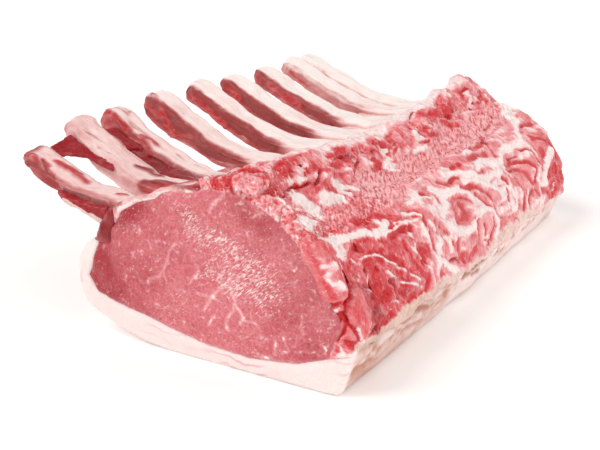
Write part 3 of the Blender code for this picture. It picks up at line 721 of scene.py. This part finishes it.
SIDE_DARK = (
    (3.0, (66.5, -110, 31), (67, -106, 27), (67.4, -102, 25)), (2.2, (63.5, -91, 40), (65.5, -88, 35)),
    (2.5, (66.5, -82, 31), (67, -76, 27)), (1.6, (62, -113, 43), (62.5, -106, 41), (63, -100, 40)),
)
BEAD = (59.5, -102.5, 47.0)  # one small round bead of red lean
CREST_EDGE = (  # depth, and how far left the crest reaches
    (-95, -70, -50, 20, 55, 75, 105), (13, 15.5, 13, 12, 9.5, 8, 4),
)
SPLINTER = (5.6, 105.0, 74.5)  # the tip of bone that stands up near the far end
SIDE_FAT = (
    (1.8, (50, 60.5, 50.5), (49.5, 73.5, 50.5), (50, 85, 50.5), (48.5, 92, 51.5), (44, 96.5, 54),
     (39.5, 104.5, 56), (31.5, 114.5, 58.5)),
    (1.8, (58.5, 109, 41.5), (61, 100, 38), (63, 92, 33.5), (64.5, 89, 29.5)),
    (1.8, (50.5, 25, 55), (50, 39, 53.5), (53, 43, 50), (52, 57, 49)),
    (1.5, (48, -5.5, 57), (50, 3.5, 56.5), (54, 13, 53), (53.5, 27, 48), (55, 37, 47), (55, 48.5, 46)),
    (1.3, (53.5, 5, 53), (54.5, 22.5, 47.5), (57, 32, 44), (61, 38.5, 39), (61, 48, 38.5), (62.5, 56, 32.5),
     (64.5, 55, 27.5), (65.5, 42, 29.5)),
    (1.5, (50.5, -25, 56), (52.5, -15.5, 52), (53.5, -3, 50.5), (56.5, 5.5, 47), (58, 7, 43.5)),
    (1.9, (53.5, -18.5, 51), (55.5, -18, 47.5), (58, -25.5, 46), (60, -27.5, 43.5)),
    (1.6, (61.5, -26.5, 41), (63, -18, 36.5), (64, -8, 33), (63, 1.5, 34.5), (61.5, 7, 37.5),
     (61.5, 15, 37), (63, 21.5, 33.5), (65.5, 23.5, 28), (66, 21, 20.5), (66.5, 13.5, 17.5)),
    (0.6, (59.5, -46.5, 48.5), (61, -51, 46.5)),
    (0.32, (54, 83, 47), (58, 87, 43.5), (61, 88.5, 38), (63, 86, 33.5)),
    (0.4, (60.5, 53, 38), (62, 59, 33), (64.5, 56.5, 26.5)), (0.32, (62, 70.5, 32), (65, 65.5, 24)),
    (0.4, (65, 74, 24.5), (65, 75.5, 17.5), (64, 74.5, 12)),
    (0.32, (63.5, 84.5, 30.5), (65, 82.5, 22.5), (64.5, 79.5, 14)), (0.32, (64.5, 92, 15), (61, 95, 5)),
    (0.32, (62.5, 104.5, 32), (63.5, 107.5, 28.5), (64, 111.5, 26.5)),
    (0.32, (64, 105, 26), (65, 103.5, 22)), (0.4, (58.5, 119.5, 40), (61.5, 113.5, 34.5)),
    (1.3, (51, -118, 59), (52.5, -117, 57), (54.5, -116.5, 54.5)),
    (1.5, (50, -124, 61.5), (50.5, -115.5, 59.5), (51, -106.5, 59), (52, -97.5, 58), (54.5, -89.5, 54.5),
     (54, -80.5, 54)),
    (0.6, (54.5, -80.5, 53.5), (55.5, -72.5, 53), (55, -62.5, 52.5), (56.5, -55.5, 51.5)),
    (1.2, (59, -56, 48.5), (61.5, -54.5, 45)), (0.32, (55.5, -111, 52), (57, -109, 49.5), (59, -106.5, 47)),
    (0.32, (56.5, -107.5, 51), (57.5, -101, 50.5), (59.5, -93, 47.5), (62, -87.5, 44), (64.5, -79, 38),
     (66, -71, 31), (66.5, -62.5, 25)),
    (0.4, (62.5, -93, 41), (65, -85.5, 36), (66.5, -75, 30.5), (66.5, -69, 27)),
    (0.6, (62.5, -68.5, 44), (63, -66, 41.5)),
    (0.32, (59.5, -64.5, 48), (63, -66.5, 42.5), (65, -60.5, 34), (66, -56, 30)),
    (0.32, (60.5, -106, 43.5), (63, -109, 39), (65.5, -104, 34.5), (66.5, -99.5, 30.5)),
    (0.32, (66.5, -96, 30), (67.5, -91, 27.5)), (0.26, (67.5, -107, 27), (67, -102, 28), (67, -96.5, 28)),
    (0.5, (54, -69.5, 54.5), (56, -63, 51.5), (59, -64, 48)),
    (0.5, (52.5, -62.5, 55.5), (54, -53.5, 54), (57, -51.5, 51.5)),
    (0.6, (51, -52.5, 56.5), (52, -42, 56.5), (53, -33.5, 54)), (0.6, (63, -0.5, 35), (65, -2, 30.5)),
    (2.2, (63, -40, 38.5), (64.5, -45.5, 35), (65.5, -49.5, 31.5)),
    (1.4, (66, -41.5, 29), (66.5, -33.5, 23.5), (66.5, -21.5, 16)),
    (1.6, (63.5, -33, 37.5), (65.5, -32, 32.5)),
)
SIDE_RED = (
    (1.5, (44, 104.5, 54), (44.5, 111, 53.5), (45.5, 118.5, 53)),
    (1.4, (52, 100, 50), (54, 107, 48), (56, 116.5, 44)),
    (0.8, (50.5, 78, 49.5), (54, 85, 47.5), (57.5, 90, 45), (60, 90.5, 41), (62.5, 90.5, 35.5)),
    (1.3, (54, 60.5, 45.5), (54, 71.5, 44.5), (57, 80, 42.5), (60, 83.5, 39.5), (61.5, 82.5, 36),
     (63, 79.5, 32)),
    (1.4, (55.5, 58, 44.5), (56.5, 71, 41), (60, 76.5, 37.5), (62.5, 76.5, 32.5)),
    (1.2, (57.5, 46, 43.5), (59, 47.5, 41), (60, 47, 40)),
    (1.1, (57.5, 61, 41), (59, 65.5, 37.5), (62, 66.5, 32), (63.5, 62.5, 28), (65.5, 60.5, 21)),
    (1.2, (63.5, 73.5, 30), (64.5, 69, 26), (65, 70, 22)), (1.3, (64, 76, 29.5), (65, 81, 25)),
    (0.9, (61, 43, 38.5), (63.5, 42.5, 35)),
    (2.4, (59, 115, 40), (61, 115, 35.5), (62.5, 114, 31), (64, 113, 26), (65, 112, 20.5)),
    (1.8, (62, 112.5, 33.5), (63.5, 108, 29), (64.5, 114, 25), (65, 108.5, 21.5)),
    (2, (65, 88, 26.5), (65, 100.5, 20), (64, 106.5, 13.5), (63, 101, 10.5), (63, 92, 10)),
    (1.4, (64.5, 113.5, 16.5), (63.5, 110, 12.5)), (1.4, (63, 4.5, 35), (64.5, 2, 31), (66, 1, 27)),
    (1.5, (64.5, 17.5, 30.5), (65.5, 18, 25.5), (66.5, 14.5, 21.5), (66.5, 10.5, 19)),
    (0.9, (64.5, 8, 31), (66, 8, 24.5)),
    (2.2, (66, -22.5, 26), (66.5, -15.5, 22), (66.5, -7, 22.5), (66, -2, 25)),
    (1.3, (64, -23.5, 34.5), (65.5, -26.5, 30.5), (66, -25, 26), (66.5, -19.5, 21.5)),
    (2.8, (56, -10, 46), (59, -15, 43), (61, -12.5, 39.5), (60.5, -5.5, 39), (57.5, -5, 43)),
    (1.2, (54.5, -9, 48), (57, -1.5, 45.5), (58.5, 3.5, 43)),
    (1.5, (54.5, 1.5, 51), (56, 9.5, 48.5), (56.5, 21, 44), (58.5, 27, 40.5), (60.5, 27, 37),
     (63, 27.5, 34.5)),
    (1.4, (58, 12, 44), (60, 17, 39), (62, 21.5, 35.5)), (1.7, (45, -20, 59.5), (48, -17.5, 58)),
    (1.2, (49, -11.5, 56), (51, -7.5, 53.5), (50.5, -3.5, 54), (51.5, 1, 55), (51.5, 4, 55)),
    (0.9, (51.5, -39, 57), (52, -29.5, 54.5)),
    (2, (58, -51, 50.5), (60.5, -49, 47), (63, -49, 42.5), (64, -48.5, 38)),
    (1.2, (59, -37, 47), (61.5, -40, 43), (63, -44, 40)),
    (1.7, (63, -61.5, 42), (64, -58.5, 38.5), (64.5, -61.5, 35.5)),
    (2, (65.5, -66.5, 32.5), (66, -59, 28), (66.5, -63.5, 26)),
    (1.5, (66.5, -46.5, 25.5), (67, -40.5, 21.5)),
    (1.2, (59.5, -105, 46.5), (60.5, -101.5, 44.5), (61, -97.5, 44)),
    (2.6, (61.5, -101.5, 42.5), (63.5, -97, 39.5), (65, -95, 35), (65, -102.5, 35.5), (62.5, -106, 40)),
    (1.2, (64.5, -91, 37.5), (66, -89.5, 34), (67, -90.5, 30.5)),
    (2, (66.5, -86.5, 31), (67, -77, 25.5), (67.5, -81.5, 24.5)),
    (2.6, (65, -107, 35.5), (65.5, -111, 33.5), (67, -110, 28), (67.5, -104.5, 23)),
    (1.6, (67.5, -100.5, 26.5), (67.5, -98, 25)), (1.4, (53.5, -107.5, 55.5), (55.5, -104, 53.5)),
    (1.4, (59, -90.5, 49), (62, -84, 44.5), (63.5, -80, 41)), (1.6, (56.5, -71, 51), (57, -62, 50)),
    (1.4, (60.5, -72.5, 47), (63.5, -72.5, 41), (64.5, -69, 35.5)), (1, (63, -86.5, 42), (65, -80.5, 36)),
    (1.2, (63.5, -56, 40.5), (65, -56, 35.5)),
)
SIDE_LINES = (
    (0.6, (66.5, -35, 26.5), (66.5, -28.5, 26.5), (66.5, -25.5, 23)),
    (0.7, (67.5, -119, 24.5), (67.5, -116.5, 25), (67.5, -110.5, 24)),
    (0.5, (64.5, -91, 37), (66, -90, 33.5), (67, -90.5, 29.5)), (0.5, (52.5, 68.5, 47), (54, 77, 45.5)),
    (0.5, (40, 62.5, 57), (47, 56, 55), (50, 55.5, 51.5)), (0.5, (17.5, -22, 69), (20.5, -27.5, 66.5)),
)


def back_look(points, outward, salmon=0.0):
    """The lift and the masks of the back, at any point: broken crest, combed strip, dark patch and
    marbled side, each fading unevenly into the next."""
    x, y, z = points.T
    joined = ease(-outward[:, 2] - outward[:, 0] * ease(x, 22, 30), 0.2, 0.5)
    loose = wander(points, 4.5, 0.8, 4)
    looser = wander(points, 9.0, 3.0, 5)
    far = ease(y, -75, -45)
    crest = ease(24.0 + 4.0 * lumps(points, 8.0, 70) - 0.02 * y - x, -2.5, 2.5) * ease(z, 52, 58)
    comb = painted(looser, COMB, 0.10) * (1 - crest) * ease(z, 50, 54)
    patch = painted(looser, DARK_PATCH, 0.12) * (1 - crest)
    corner = ease(-y, 104, 112) * (1 - patch) * (1 - salmon) * ease(z, 55, 62)
    wax = ease(np.interp(y, *WAX_TOP) + 2.0 * lumps(points, 7.0, 93) - z, -1.5, 1.5)
    wax = wax * ease(x, 56, 60) * ease(y, -131, -127)
    bead = ease(-np.linalg.norm((points - BEAD) * (1, 0.7, 1), axis=1), -3.0, -2.0)
    red = np.maximum(painted(loose, CREST_RED, 0.6, 1.3), painted(loose, SIDE_RED, 0.75))
    white = painted(loose, CREST_FAT + SIDE_FAT, 0.75, 1.35)
    crack = painted(wander(points, 3.0, 0.5, 6), CREST_CRACKS + SIDE_LINES, 0.9)
    # the broken crest
    crag = 0.7 * rough(points, 9.0, 8) + 0.44 - 1.28 * np.abs(lumps(wander(points, 5.0, 1.5, 83), 5.5, 84))
    chunk = lumps(wander(points, 4.0, 2.0, 71), 5.0, 72)
    behind = ease(np.interp(y, *CREST_EDGE) + 1.2 * lumps(points, 5.0, 91) - x, -1.0, 1.5)
    behind = behind * crest * ease(y, -95, -80)
    red = np.maximum(red, 0.85 * crest * ease(chunk, 0.10, 0.40)) * (1 - behind)
    fatty = np.maximum(0.5 * ease(-chunk, 0.20, 0.50) * (1 - behind), 0.68 * behind)
    shard = ease(-np.linalg.norm(points - SPLINTER, axis=1), -6.5, -1.5)
    white = np.maximum(np.maximum(white, crest * fatty), 0.7 * shard)
    red = np.maximum(red, bead) * (1 - shard)
    # the comb: close fibres that run slantwise across it
    across = np.stack([0.55 * x - 0.83 * y, 0.83 * x + 0.55 * y, z], axis=1)
    fibres = lumps(wander(across, 9.0, 1.5, 8) * (0.16, 1, 0.3), 1.9, 15)
    # the marbled side: streaks of red and of white on a pale pink ground, closer to plain lean near
    bent = wander(points, 16.0, 6.0, 73)
    down = bent[:, 0] - bent[:, 2]
    streaks = np.stack([(bent[:, 1] + down) * 0.36, bent[:, 1] - down, 0.3 * down], axis=1)
    islands = lumps(streaks, 6.5, 74) + 0.5 * lumps(wander(streaks, 5.0, 2.0, 75), 3.0, 76)
    marbled = (1 - crest) * (1 - comb) * (1 - patch) * (1 - salmon)
    hidden = ease(y, 122, 128)
    end = marbled * ease(y, 88, 102) * ease(46 - z, -4, 4)
    red = np.maximum(red, end * np.clip(0.75 + 0.6 * lumps(points, 6.0, 89), 0, 1) * (1 - white))
    fatty = marbled * far * (0.62 - 0.4 * end + 0.3 * hidden) * ease(0.06 - islands, -0.10, 0.40)
    net = network(points)
    fatty = np.maximum(fatty, corner * (0.33 + 0.25 * ease(-y, -128, -118)) * net)
    white = np.maximum(white, fatty * (1 - red))
    white = white * (1 - 0.6 * red) * (1 - 0.6 * salmon)
    white, red = np.maximum(white, 0.7 * wax * far), red * (1 - wax)
    shallow = 0.45 * marbled * ease(islands, 0.10, 0.6) + 0.22 * patch + 0.12 * comb
    near_side = marbled * (1 - far) * (1 - corner)
    deep = np.maximum(red, shallow) + crack + corner * (0.42 - 0.25 * net)
    deep = deep + near_side * (0.38 + 0.35 * lumps(points, 9.0, 86)) * (1 - white)
    pale = 0.6 * comb + 0.12 * crest + 0.75 * behind + 0.5 * shard + 0.1 * patch
    pale = pale + 0.55 * marbled * far * (1 - 0.8 * end) + 0.25 * lumps(points, 5.0, 78) * (1 - patch)
    lift = crest * (1 - behind) * (1.7 * crag + 0.6 * lumps(points, 2.4, 35)) + 3.5 * shard
    lift = lift + 0.3 * comb * (fibres + rough(points, 8.0, 9)) + 0.4 * patch * rough(points, 3.0, 80)
    lift = lift + (marbled + 0.4 * corner) * (0.9 * rough(points, 8.0, 10) + 0.35 * rough(points, 3.0, 79))
    lift = lift + near_side * lumps(wander(points, 9.0, 4.0, 87), 10.0, 88)
    lift = lift + 1.8 * marbled * ease(y, 50, 95) * ease(-y, -131, -122)
    lift = lift + 0.8 * white - 0.9 * red * (1 - crest) - 1.8 * crack
    # the round sawn face of the nearest vertebra, with a dark groove round it
    around = np.linalg.norm((points - VERTEBRA) * (1, 0.8, 1.25), axis=1) + 0.8 * lumps(points, 3.5, 81)
    disc, groove = ease(-around, -7.0, -6.2), ease(-around, -8.8, -7.6) * ease(around, 6.4, 7.2)
    deep = deep * (1 - disc) + 0.55 * disc * ease(lumps(points, 2.0, 82), -0.1, 0.5) + 0.9 * groove
    white, pale = white * (1 - disc), pale * (1 - disc) + 0.12 * disc
    lift = lift + 1.0 * disc - 1.2 * groove
    coarse = 0.9 * crest * (1 - behind) + 0.8 * corner + 0.3 * marbled + 0.3 * near_side
    coarse = coarse + 0.4 * patch + 0.5 * disc
    fibre = comb + 0.8 * patch + 0.15 * near_side + 0.4 * corner
    flush = ease(-outward[:, 1], 0.5, 0.9) * ease(-y, 128, 131) * corner
    wrinkle = ease(lumps(wander(points, 6.0, 2.0, 18) * (1, 0.3, 1), 3.0, 7), 0.0, 0.5)
    lift = lift + 1.2 * bead + wax * (0.5 - 0.8 * wrinkle)
    lift = lift * (1 - flush) + (0.25 + 0.3 * lumps(points, 5.0, 92)) * flush
    lift = lift * (1 - joined) + 0.3 * joined
    # Wet glint: lowers the roughness and brings painted highlight glints.
    wet = 0.25 + 0.35 * patch + 0.3 * corner + 0.2 * comb
    white = white * (1 - np.clip(crack + groove, 0, 1))
    pale = pale + 0.6 * white
    # Painted shade: the wrinkle hollows of the waxy fat are painted darker.
    dark = 0.5 * crack + 0.25 * groove + 0.15 * wax * wrinkle
    dark = dark + 0.3 * painted(looser, SIDE_DARK, 0.6) * (1 - wax)
    return dict(
        lift=MEET + lift, deep=np.clip(deep, 0, 1), fat=0.85 * white, pale=pale, wet=wet,
        coarse=np.clip(coarse, 0, 1), fibre=np.clip(fibre, 0, 1), dark=dark, wax=wax * (1 - 0.4 * far),
    )


back_material = meat_material(
    "back_lean", (228, 90, 99), (208, 10, 25), (247, 180, 182), (254, 234, 231),
    bump=0.65, gloss=0.14, break_up=1.6, tone=0.4, bundle_scale=550.0, bundle_show=0.30, flecks=0.35,
    dryness=0.34, stretch=(0.6, 1, 0.6), fat_edge=0.25,
)
for name, node, voxel in (
    ("chine_crest", "chine_ridge", 0.7), ("feather_muscle", "feather_strip", 0.7),
    ("marbled_muscles", "marbled_side", 0.8),
):
    back_piece = flesh_copy(name, node, voxel)
    dress(back_piece, [node], "lean", back_material, **back_look(*read_points(back_piece.data)))

# ---------------------------------------------------------------------------------------------
# The cut corner: a soft salmon lobe of fat and lean at the near face, and behind it a small
# leaf-shaped flap of lean with a thin pale rim. Dark wet seams run between them, and the foot of
# the corner turns to cream fat.
LOBE = (
    (5, (50, -132.5, 59), (53, -132.5, 55), (56, -132.5, 50), (59, -132.5, 46)),
    (3, (52.5, -130, 59), (56, -128.5, 54.5)), (3, (51, -130.5, 61.5), (52, -126, 58.5)),
)
LOBE_FAT = (
    (1.2, (53.5, -132.5, 56), (55.5, -130.5, 55), (55.5, -132.5, 52), (58.5, -132, 50), (61, -130.5, 46.5)),
    (0.9, (56.5, -127.5, 54), (58.5, -128.5, 51.5), (60.5, -128.5, 47.5)),
    (0.8, (60, -133, 37.5), (62, -132.5, 39.5)), (0.5, (63, -132.5, 39), (64, -132.5, 36)),
)
LOBE_CREAM = ((2.6, (48.5, -124, 62.4), (50.5, -121.5, 60), (52.5, -118, 57.2), (53.5, -114.5, 55.5)),)
LOBE_SEAMS = (
    (0.9, (60.5, -124.5, 47.5), (62, -126, 45.5), (63, -126.5, 43)),
    (1.2, (56, -124, 54.5), (58, -123, 51), (60, -125, 48.5)),
    (0.7, (55.5, -133, 41.5), (59, -132.5, 40.5), (62, -132, 42), (63, -129.5, 42.5)),
    (0.9, (62.5, -132.5, 37), (64, -132.5, 34.5), (64, -132.5, 31), (63, -132.5, 29)),
    (0.8, (64.5, -131.5, 38), (64.5, -132.5, 35)),
    (1.4, (44, -133, 58.5), (44, -133.5, 55.5), (41, -134, 52)),
    (1.6, (66.5, -132, 26), (67.5, -128.5, 23.5)), (0.8, (61.5, -133, 27), (63, -132.5, 29)),
    (0.7, (55, -123.5, 55), (56, -122, 53.5)),
)
LEAF = (
    (-121.5, 46), (-129.5, 40.5), (-131.5, 35), (-126, 25.3), (-121.3, 27.5), (-117.2, 31), (-116.4, 35),
    (-118.8, 41),
)
LEAF_SIDE = 58.0  # the leaf lies on the side beyond this


def leaf_inside(points):
    """How far each point lies inside the leaf's outline, seen from the side; negative is outside."""
    inside = np.full(len(points), 1e3)
    for (y0, z0), (y1, z1) in zip(LEAF, LEAF[1:] + LEAF[:1]):
        length = math.hypot(y1 - y0, z1 - z0)
        gap = ((y1 - y0) * (points[:, 2] - z0) - (z1 - z0) * (points[:, 1] - y0)) / length
        inside = np.minimum(inside, gap)
    return np.where(points[:, 0] > LEAF_SIDE, inside, -9.0)


for name, node, seed in (("corner_lobe_lean", "corner_lobe", 13), ("corner_leaf_lean", "corner_flap", 14)):
    corner = flesh_copy(name, node, 0.6)
    corner_points, corner_out = read_points(corner.data)
    corner_x, corner_y, corner_z = corner_points.T
    loose = wander(corner_points, 3.5, 0.8, seed)
    cream = painted(loose, LOBE_CREAM, 0.9)
    salmon = painted(loose, LOBE, 0.4) * (1 - cream)
    leaf = leaf_inside(wander(corner_points, 4.0, 0.5, 3))
    flap = ease(leaf, -0.5, 0.6)
    rim = ease(leaf, -0.8, -0.3) * ease(-leaf, -0.5, 0.0) * ease(-corner_z, -45, -42)
    rim = rim * np.maximum(ease(corner_y, -127, -123), 0.45 * ease(-corner_z, -33, -31))
    seam = painted(loose, LOBE_SEAMS, 0.8) + 0.8 * ease(leaf, -2.6, -1.2) * ease(-leaf, 0.5, 0.9)
    white = np.clip(painted(loose, LOBE_FAT, 0.8, 0.85) + rim, 0, 1)
    panel = ease(corner_y, -117, -114) * ease(40 - corner_z, -2, 2) * (1 - flap)
    foot = ease(22.5 + 1.5 * lumps(corner_points, 5.0, 94) - corner_z, -3, 2) * ease(-corner_y, 121, 124)
    foot = foot * ease(corner_x + lumps(corner_points, 4.0, 95), 59.5, 63)
    bare = (1 - salmon) * (1 - flap)
    look = back_look(corner_points, corner_out, np.maximum(salmon, flap))
    look["lift"] = look["lift"] + 1.5 * flap - 1.4 * seam + 2.2 * salmon
    look["deep"] = np.clip(look["deep"] * bare + seam + 0.42 * flap + 0.45 * salmon * (1 - white), 0, 1)
    look["deep"] = look["deep"] * (1 - foot) * (1 - cream)
    look["fat"] = np.maximum(look["fat"] * bare, np.maximum(0.7 * white, 0.9 * np.maximum(cream, rim)))
    look["fat"] = np.maximum(look["fat"], 0.8 * foot * (1 - flap))
    look["pale"] = look["pale"] * bare + 0.85 * white + 0.3 * rim + 0.5 * cream
    look["coarse"] = look["coarse"] * bare
    look["wet"] = look["wet"] + 0.2 * salmon
    look["dark"] = (look["dark"] + 0.35 * panel) * bare + 0.12 * seam
    look["wax"] = np.maximum(look["wax"], 0.3 * foot) * (1 - flap)
    dress(corner, [node], "lean", back_material, **look)

# ---------------------------------------------------------------------------------------------
# The nine ribs: flat bent bones, scraped clean. The outer face is pale and waxy, whiter on its upward
# faces as a painted highlight; the hollow near side keeps a skin of dark red meat, painted darker
# still as painted shade, and the undersides carry painted shade.
RIB_FLESH = (
    (1.4, (-56.5, -120.5, 62.5), (-54, -118.5, 62)),
    (2.2, (-107, -66, 80.5), (-104.5, -68, 77.5), (-97.5, -72.5, 76), (-92, -76.5, 73.5)),
    (2, (-103, -66.5, 79.5), (-98, -66.5, 77), (-93.5, -66.5, 74)),
    (1.8, (-90.5, -80, 73), (-86.5, -78, 70), (-84, -75, 67)),
    (1.4, (-87.5, -64.5, 71.5), (-84.5, -62.5, 70), (-80.5, -62, 67.5)),
    (1.5, (-77.5, -77, 64), (-73.5, -74, 62.5)),
    (1.6, (-106, -34.5, 79.5), (-102.5, -35.5, 77.5), (-98.5, -35.5, 73.5)),
    (1.8, (-97, -35.5, 76), (-94.5, -35.5, 71.5), (-91, -35, 67.5)),
    (1.4, (-89, -35, 66), (-84, -35, 64.5), (-79, -35, 64.5)),
    (1, (-104, -31.5, 83.5), (-101.5, -32.5, 82)),
    (2.0, (-93.5, -117.4, 71), (-90.4, -117, 69.5), (-87.2, -116.7, 68), (-82.1, -117.4, 66.2),
     (-76.8, -118.2, 64.9)),
    (1.4, (-104, -124, 75), (-100.5, -124.5, 73)), (1.2, (-102, -0.5, 77.5), (-99.5, -0.5, 76)),
    (1.6, (-99.5, -0.5, 75.5), (-93, -0.5, 72), (-89, -0.5, 67.5), (-82, -0.5, 64)),
    (1.6, (-103, 31.5, 75), (-98, 31, 73), (-93.5, 31, 69.5)), (1.2, (-103, 63, 73.5), (-98.5, 62.5, 72)),
    (2, (-92.5, 62.5, 70.5), (-85.5, 62.5, 66), (-78, 63, 62), (-72.5, 63, 59.5)),
    (1.2, (-98, 94.5, 72), (-93.5, 94.5, 68.5), (-87, 94.5, 64)),
)
RIB_LINES = (
    (0.5, (-98, -92.5, 80), (-93.5, -91, 77), (-89.5, -90, 74)),
    (0.4, (-88, -94.5, 72), (-83, -91.5, 70), (-80.5, -91, 68.5)),
    (0.5, (-101.5, -56, 80), (-100.5, -52.5, 77.5)),
    (0.5, (-70.5, -58.5, 63), (-62, -59.5, 59.5), (-56, -59, 58.5)),
    (0.5, (-104, 121.5, 75.5), (-90, 116.5, 69.5), (-75.5, 115, 61.5), (-54.5, 102.5, 58)),
    (0.6, (-89, -29, 75.5), (-88.5, -29, 75.5)),
    (0.5, (-83, -127.5, 62.5), (-75, -128, 61), (-67.5, -127, 60.5)),
)
RIB_BROWN = (
    (3.0, (-101, -126, 71), (-96.5, -126.3, 68), (-92, -126.4, 65.5), (-87, -126.5, 63)),
    (1.2, (-97.5, -122, 73), (-93.5, -124, 69.5), (-87.5, -126.5, 66.4)),
)
RIB_RAW = (
    (2.0, (-61.3, -94.8, 60), (-57, -94, 59.3), (-51, -91.5, 59.6)),
    (1.5, (-73, -86, 64), (-67, -84, 62.7), (-60, -85.5, 61)),
)
RIB_STAIN = (
    (1.6, (-92, -67, 72.5), (-85.5, -68, 68), (-78, -68, 64)),
    (1.6, (-106, -58, 82), (-100.5, -57.5, 79.5)), (1.8, (-95, -61, 76), (-88, -61.5, 72), (-80, -62, 68)),
    (1.2, (-100, -33, 81.5), (-96, -33, 79), (-90.5, -34.5, 74.5)),
)
# For each rib, from the near end: how dark its near side is (meat skin and painted shade), how pink
# its top is, how waxy it is (wax and painted highlight).
NEAR_SKIN_AND_SHADE = (0.5, 0.15, 0.75, 0.95, 1.0, 1.0, 0.9, 0.45, 0.15)
RIB_BLUSH = (0.18, 0.30, 0.12, 0, 0, 0, 0, 0, 0)
RIB_WAX_AND_HIGHLIGHT = (0.22, 0.28, 0.34, 0.50, 0.54, 0.58, 0.62, 0.66, 0.70)
bone_material = meat_material(
    "scraped_rib", (192, 26, 38), (154, 62, 60), (250, 214, 210), (255, 242, 237),
    bump=0.35, gloss=0.25, tone=0.1, bundle_scale=420.0, bundle_show=0.15, flecks=0.1, dryness=0.34,
    stretch=(0.25, 1, 0.5), fat_edge=0.35, speckle=0.2,
)
for number in range(1, 10):
    rib = flesh_copy("scraped_rib_%d" % number, "rib_%d" % number, 0.7, 2)
    rib_points, rib_out = read_points(rib.data)
    rib_x = rib_points[:, 0]
    from_tip = rib_x - rib_x.min()
    wave = 0.06 * rough(rib_points * (0.5, 1, 1), 6.0, 20 + number)
    side, across = np.abs(rib_out[:, 1]), np.sqrt(np.clip(1 - rib_out[:, 1] ** 2, 0, 1))
    edge = (2 * side * across) ** 2
    near = ease(evened(rib.data, -rib_out[:, 1], 12) + wave, 0.22, 0.55)
    under = ease(evened(rib.data, -rib_out[:, 2], 12) + wave, 0.25, 0.60)
    hollow = near * (1 - under)
    flesh = painted(wander(rib_points, 4.0, 1.0, 40), RIB_FLESH + BED_RED, 0.55)
    if number == 3:
        near = near * ease(-rib_x, 74, 86) * ease(lumps(rib_points, 6.0, 41), -0.4, 0.1)
        flesh = np.maximum(flesh, 0.8 * near)
    brown = painted(wander(rib_points, 4.0, 1.0, 45), RIB_BROWN, 0.8)
    stain = painted(wander(rib_points, 4.0, 1.5, 46), RIB_STAIN, 0.9)
    raw = painted(wander(rib_points, 4.0, 1.0, 48), RIB_RAW, 0.9)
    flesh = np.maximum(flesh, raw)
    lines = painted(wander(rib_points, 4.0, 0.8, 42), RIB_LINES, 0.9)
    # Painted shade: the near-facing hollow side is painted dark, a skin of meat darkened further as shade.
    skin_and_shade = NEAR_SKIN_AND_SHADE[number - 1] * ease(-rib_x, 36, 54)
    pointed = 0.0
    if number == 1:  # the first rib ends in a point, with red flesh on it
        flesh = np.maximum(flesh, ease(4.0 - from_tip, -1.5, 1.5))
        raw = np.maximum(raw, 0.5 * ease(4.5 - from_tip, -1.5, 1.5))
        pointed = 2.6 * ease(9.0 - from_tip, 0, 9) * ease(-rib_out[:, 2], -0.6, 0.4)
    rise = 0.25 + 0.9 * edge + 0.2 * rough(rib_points, 7.0, 20 + number) - 1.3 * hollow * skin_and_shade
    rise = rise + 0.8 * flesh - 0.8 * brown - pointed
    # Painted shade: the undersides are kept from being pale.
    shaded = under * ease(0.1 + NEAR_SKIN_AND_SHADE[number - 1], 0.2, 0.7) * ease(-rib_out[:, 1], -0.5, 0.2)
    blush = RIB_BLUSH[number - 1] * ease(-rib_x, 50, 80)
    blush = blush * (0.7 + 0.6 * rough(rib_points * (0.5, 1, 1), 7.0, 47))
    pale = (1 - np.clip(hollow * skin_and_shade + 0.9 * shaded, 0, 1) - blush - 0.3 * stain).clip(0, 1)
    tip = ease(2.2 - from_tip, -1.2, 0.6) * ease(lumps(rib_points, 4.0, 43), -0.3, 0.3)
    pale = pale * (1 - flesh) * (1 - brown) * (1 - 0.55 * tip)
    # Painted highlight: the upward faces are painted waxy white, partly wax and partly highlight.
    wax_and_highlight = RIB_WAX_AND_HIGHLIGHT[number - 1] * pale * ease(rib_out[:, 2], -0.2, 0.6)
    wax_and_highlight = wax_and_highlight * (1 + 0.3 * rough(rib_points * (0.4, 1, 1), 9.0, 50 + number))
    deep = np.maximum(np.maximum(0.9 * hollow * skin_and_shade, 0.8 * brown), 0.5 * stain) * (1 - 0.9 * flesh)
    deep = deep + 0.5 * lines + 0.25 * (1 - pale) * ease(lumps(rib_points, 3.0, 44), 0, 0.5)
    dress(
        rib, ["rib_%d" % number], "bone", bone_material, rise, fold_shading=0.15,
        deep=deep, pale=pale * (1 - 0.5 * lines), fat=wax_and_highlight, wet=0.2 * pale, dark=0.8 * raw,
    )

# ---------------------------------------------------------------------------------------------
# The scraps: the flap under the first rib, the webs between the first ribs and the dark lean
# scrap on the bed. All are thin shreds of rib meat, left by the knife.
FLAP_EDGE = (
    (1.6, (-79, -130.4, 59), (-74.9, -130.6, 57.2), (-70.4, -130.6, 56), (-65.9, -130.6, 55),
     (-58.1, -130.6, 53.6)),
)
scrap_material = meat_material(
    "rib_shred", (166, 12, 26), (112, 0, 10), (214, 96, 104), (250, 214, 206),
    bump=0.6, gloss=0.2, tone=0.5, bundle_scale=600.0, bundle_show=0.12, flecks=0.08,
    dryness=0.3, stretch=(0.4, 1, 1),
)
for name, node, seed, wetness in (
    ("first_rib_flap", "flap_1", 31, 0.0), ("first_rib_web", "web_1", 32, 0.8),
    ("second_rib_web", "web_2", 33, 0.8), ("bed_lean_scrap", "lean_scrap", 34, 0.3),
):
    scrap = flesh_copy(name, node, 0.6)
    scrap_points = read_points(scrap.data)[0]
    white = painted(wander(scrap_points, 4.0, 0.8, 36), FLAP_EDGE, 0.6) if node == "flap_1" else 0.0
    dress(
        scrap, [node], "dark_lean", scrap_material, MEET / 2 + 0.45 * rough(scrap_points, 5.0, seed),
        fat=0.8 * white, wet=0.1, dark=0.25, deep=wetness * ease(scrap_points[:, 0], -82, -70),
    )
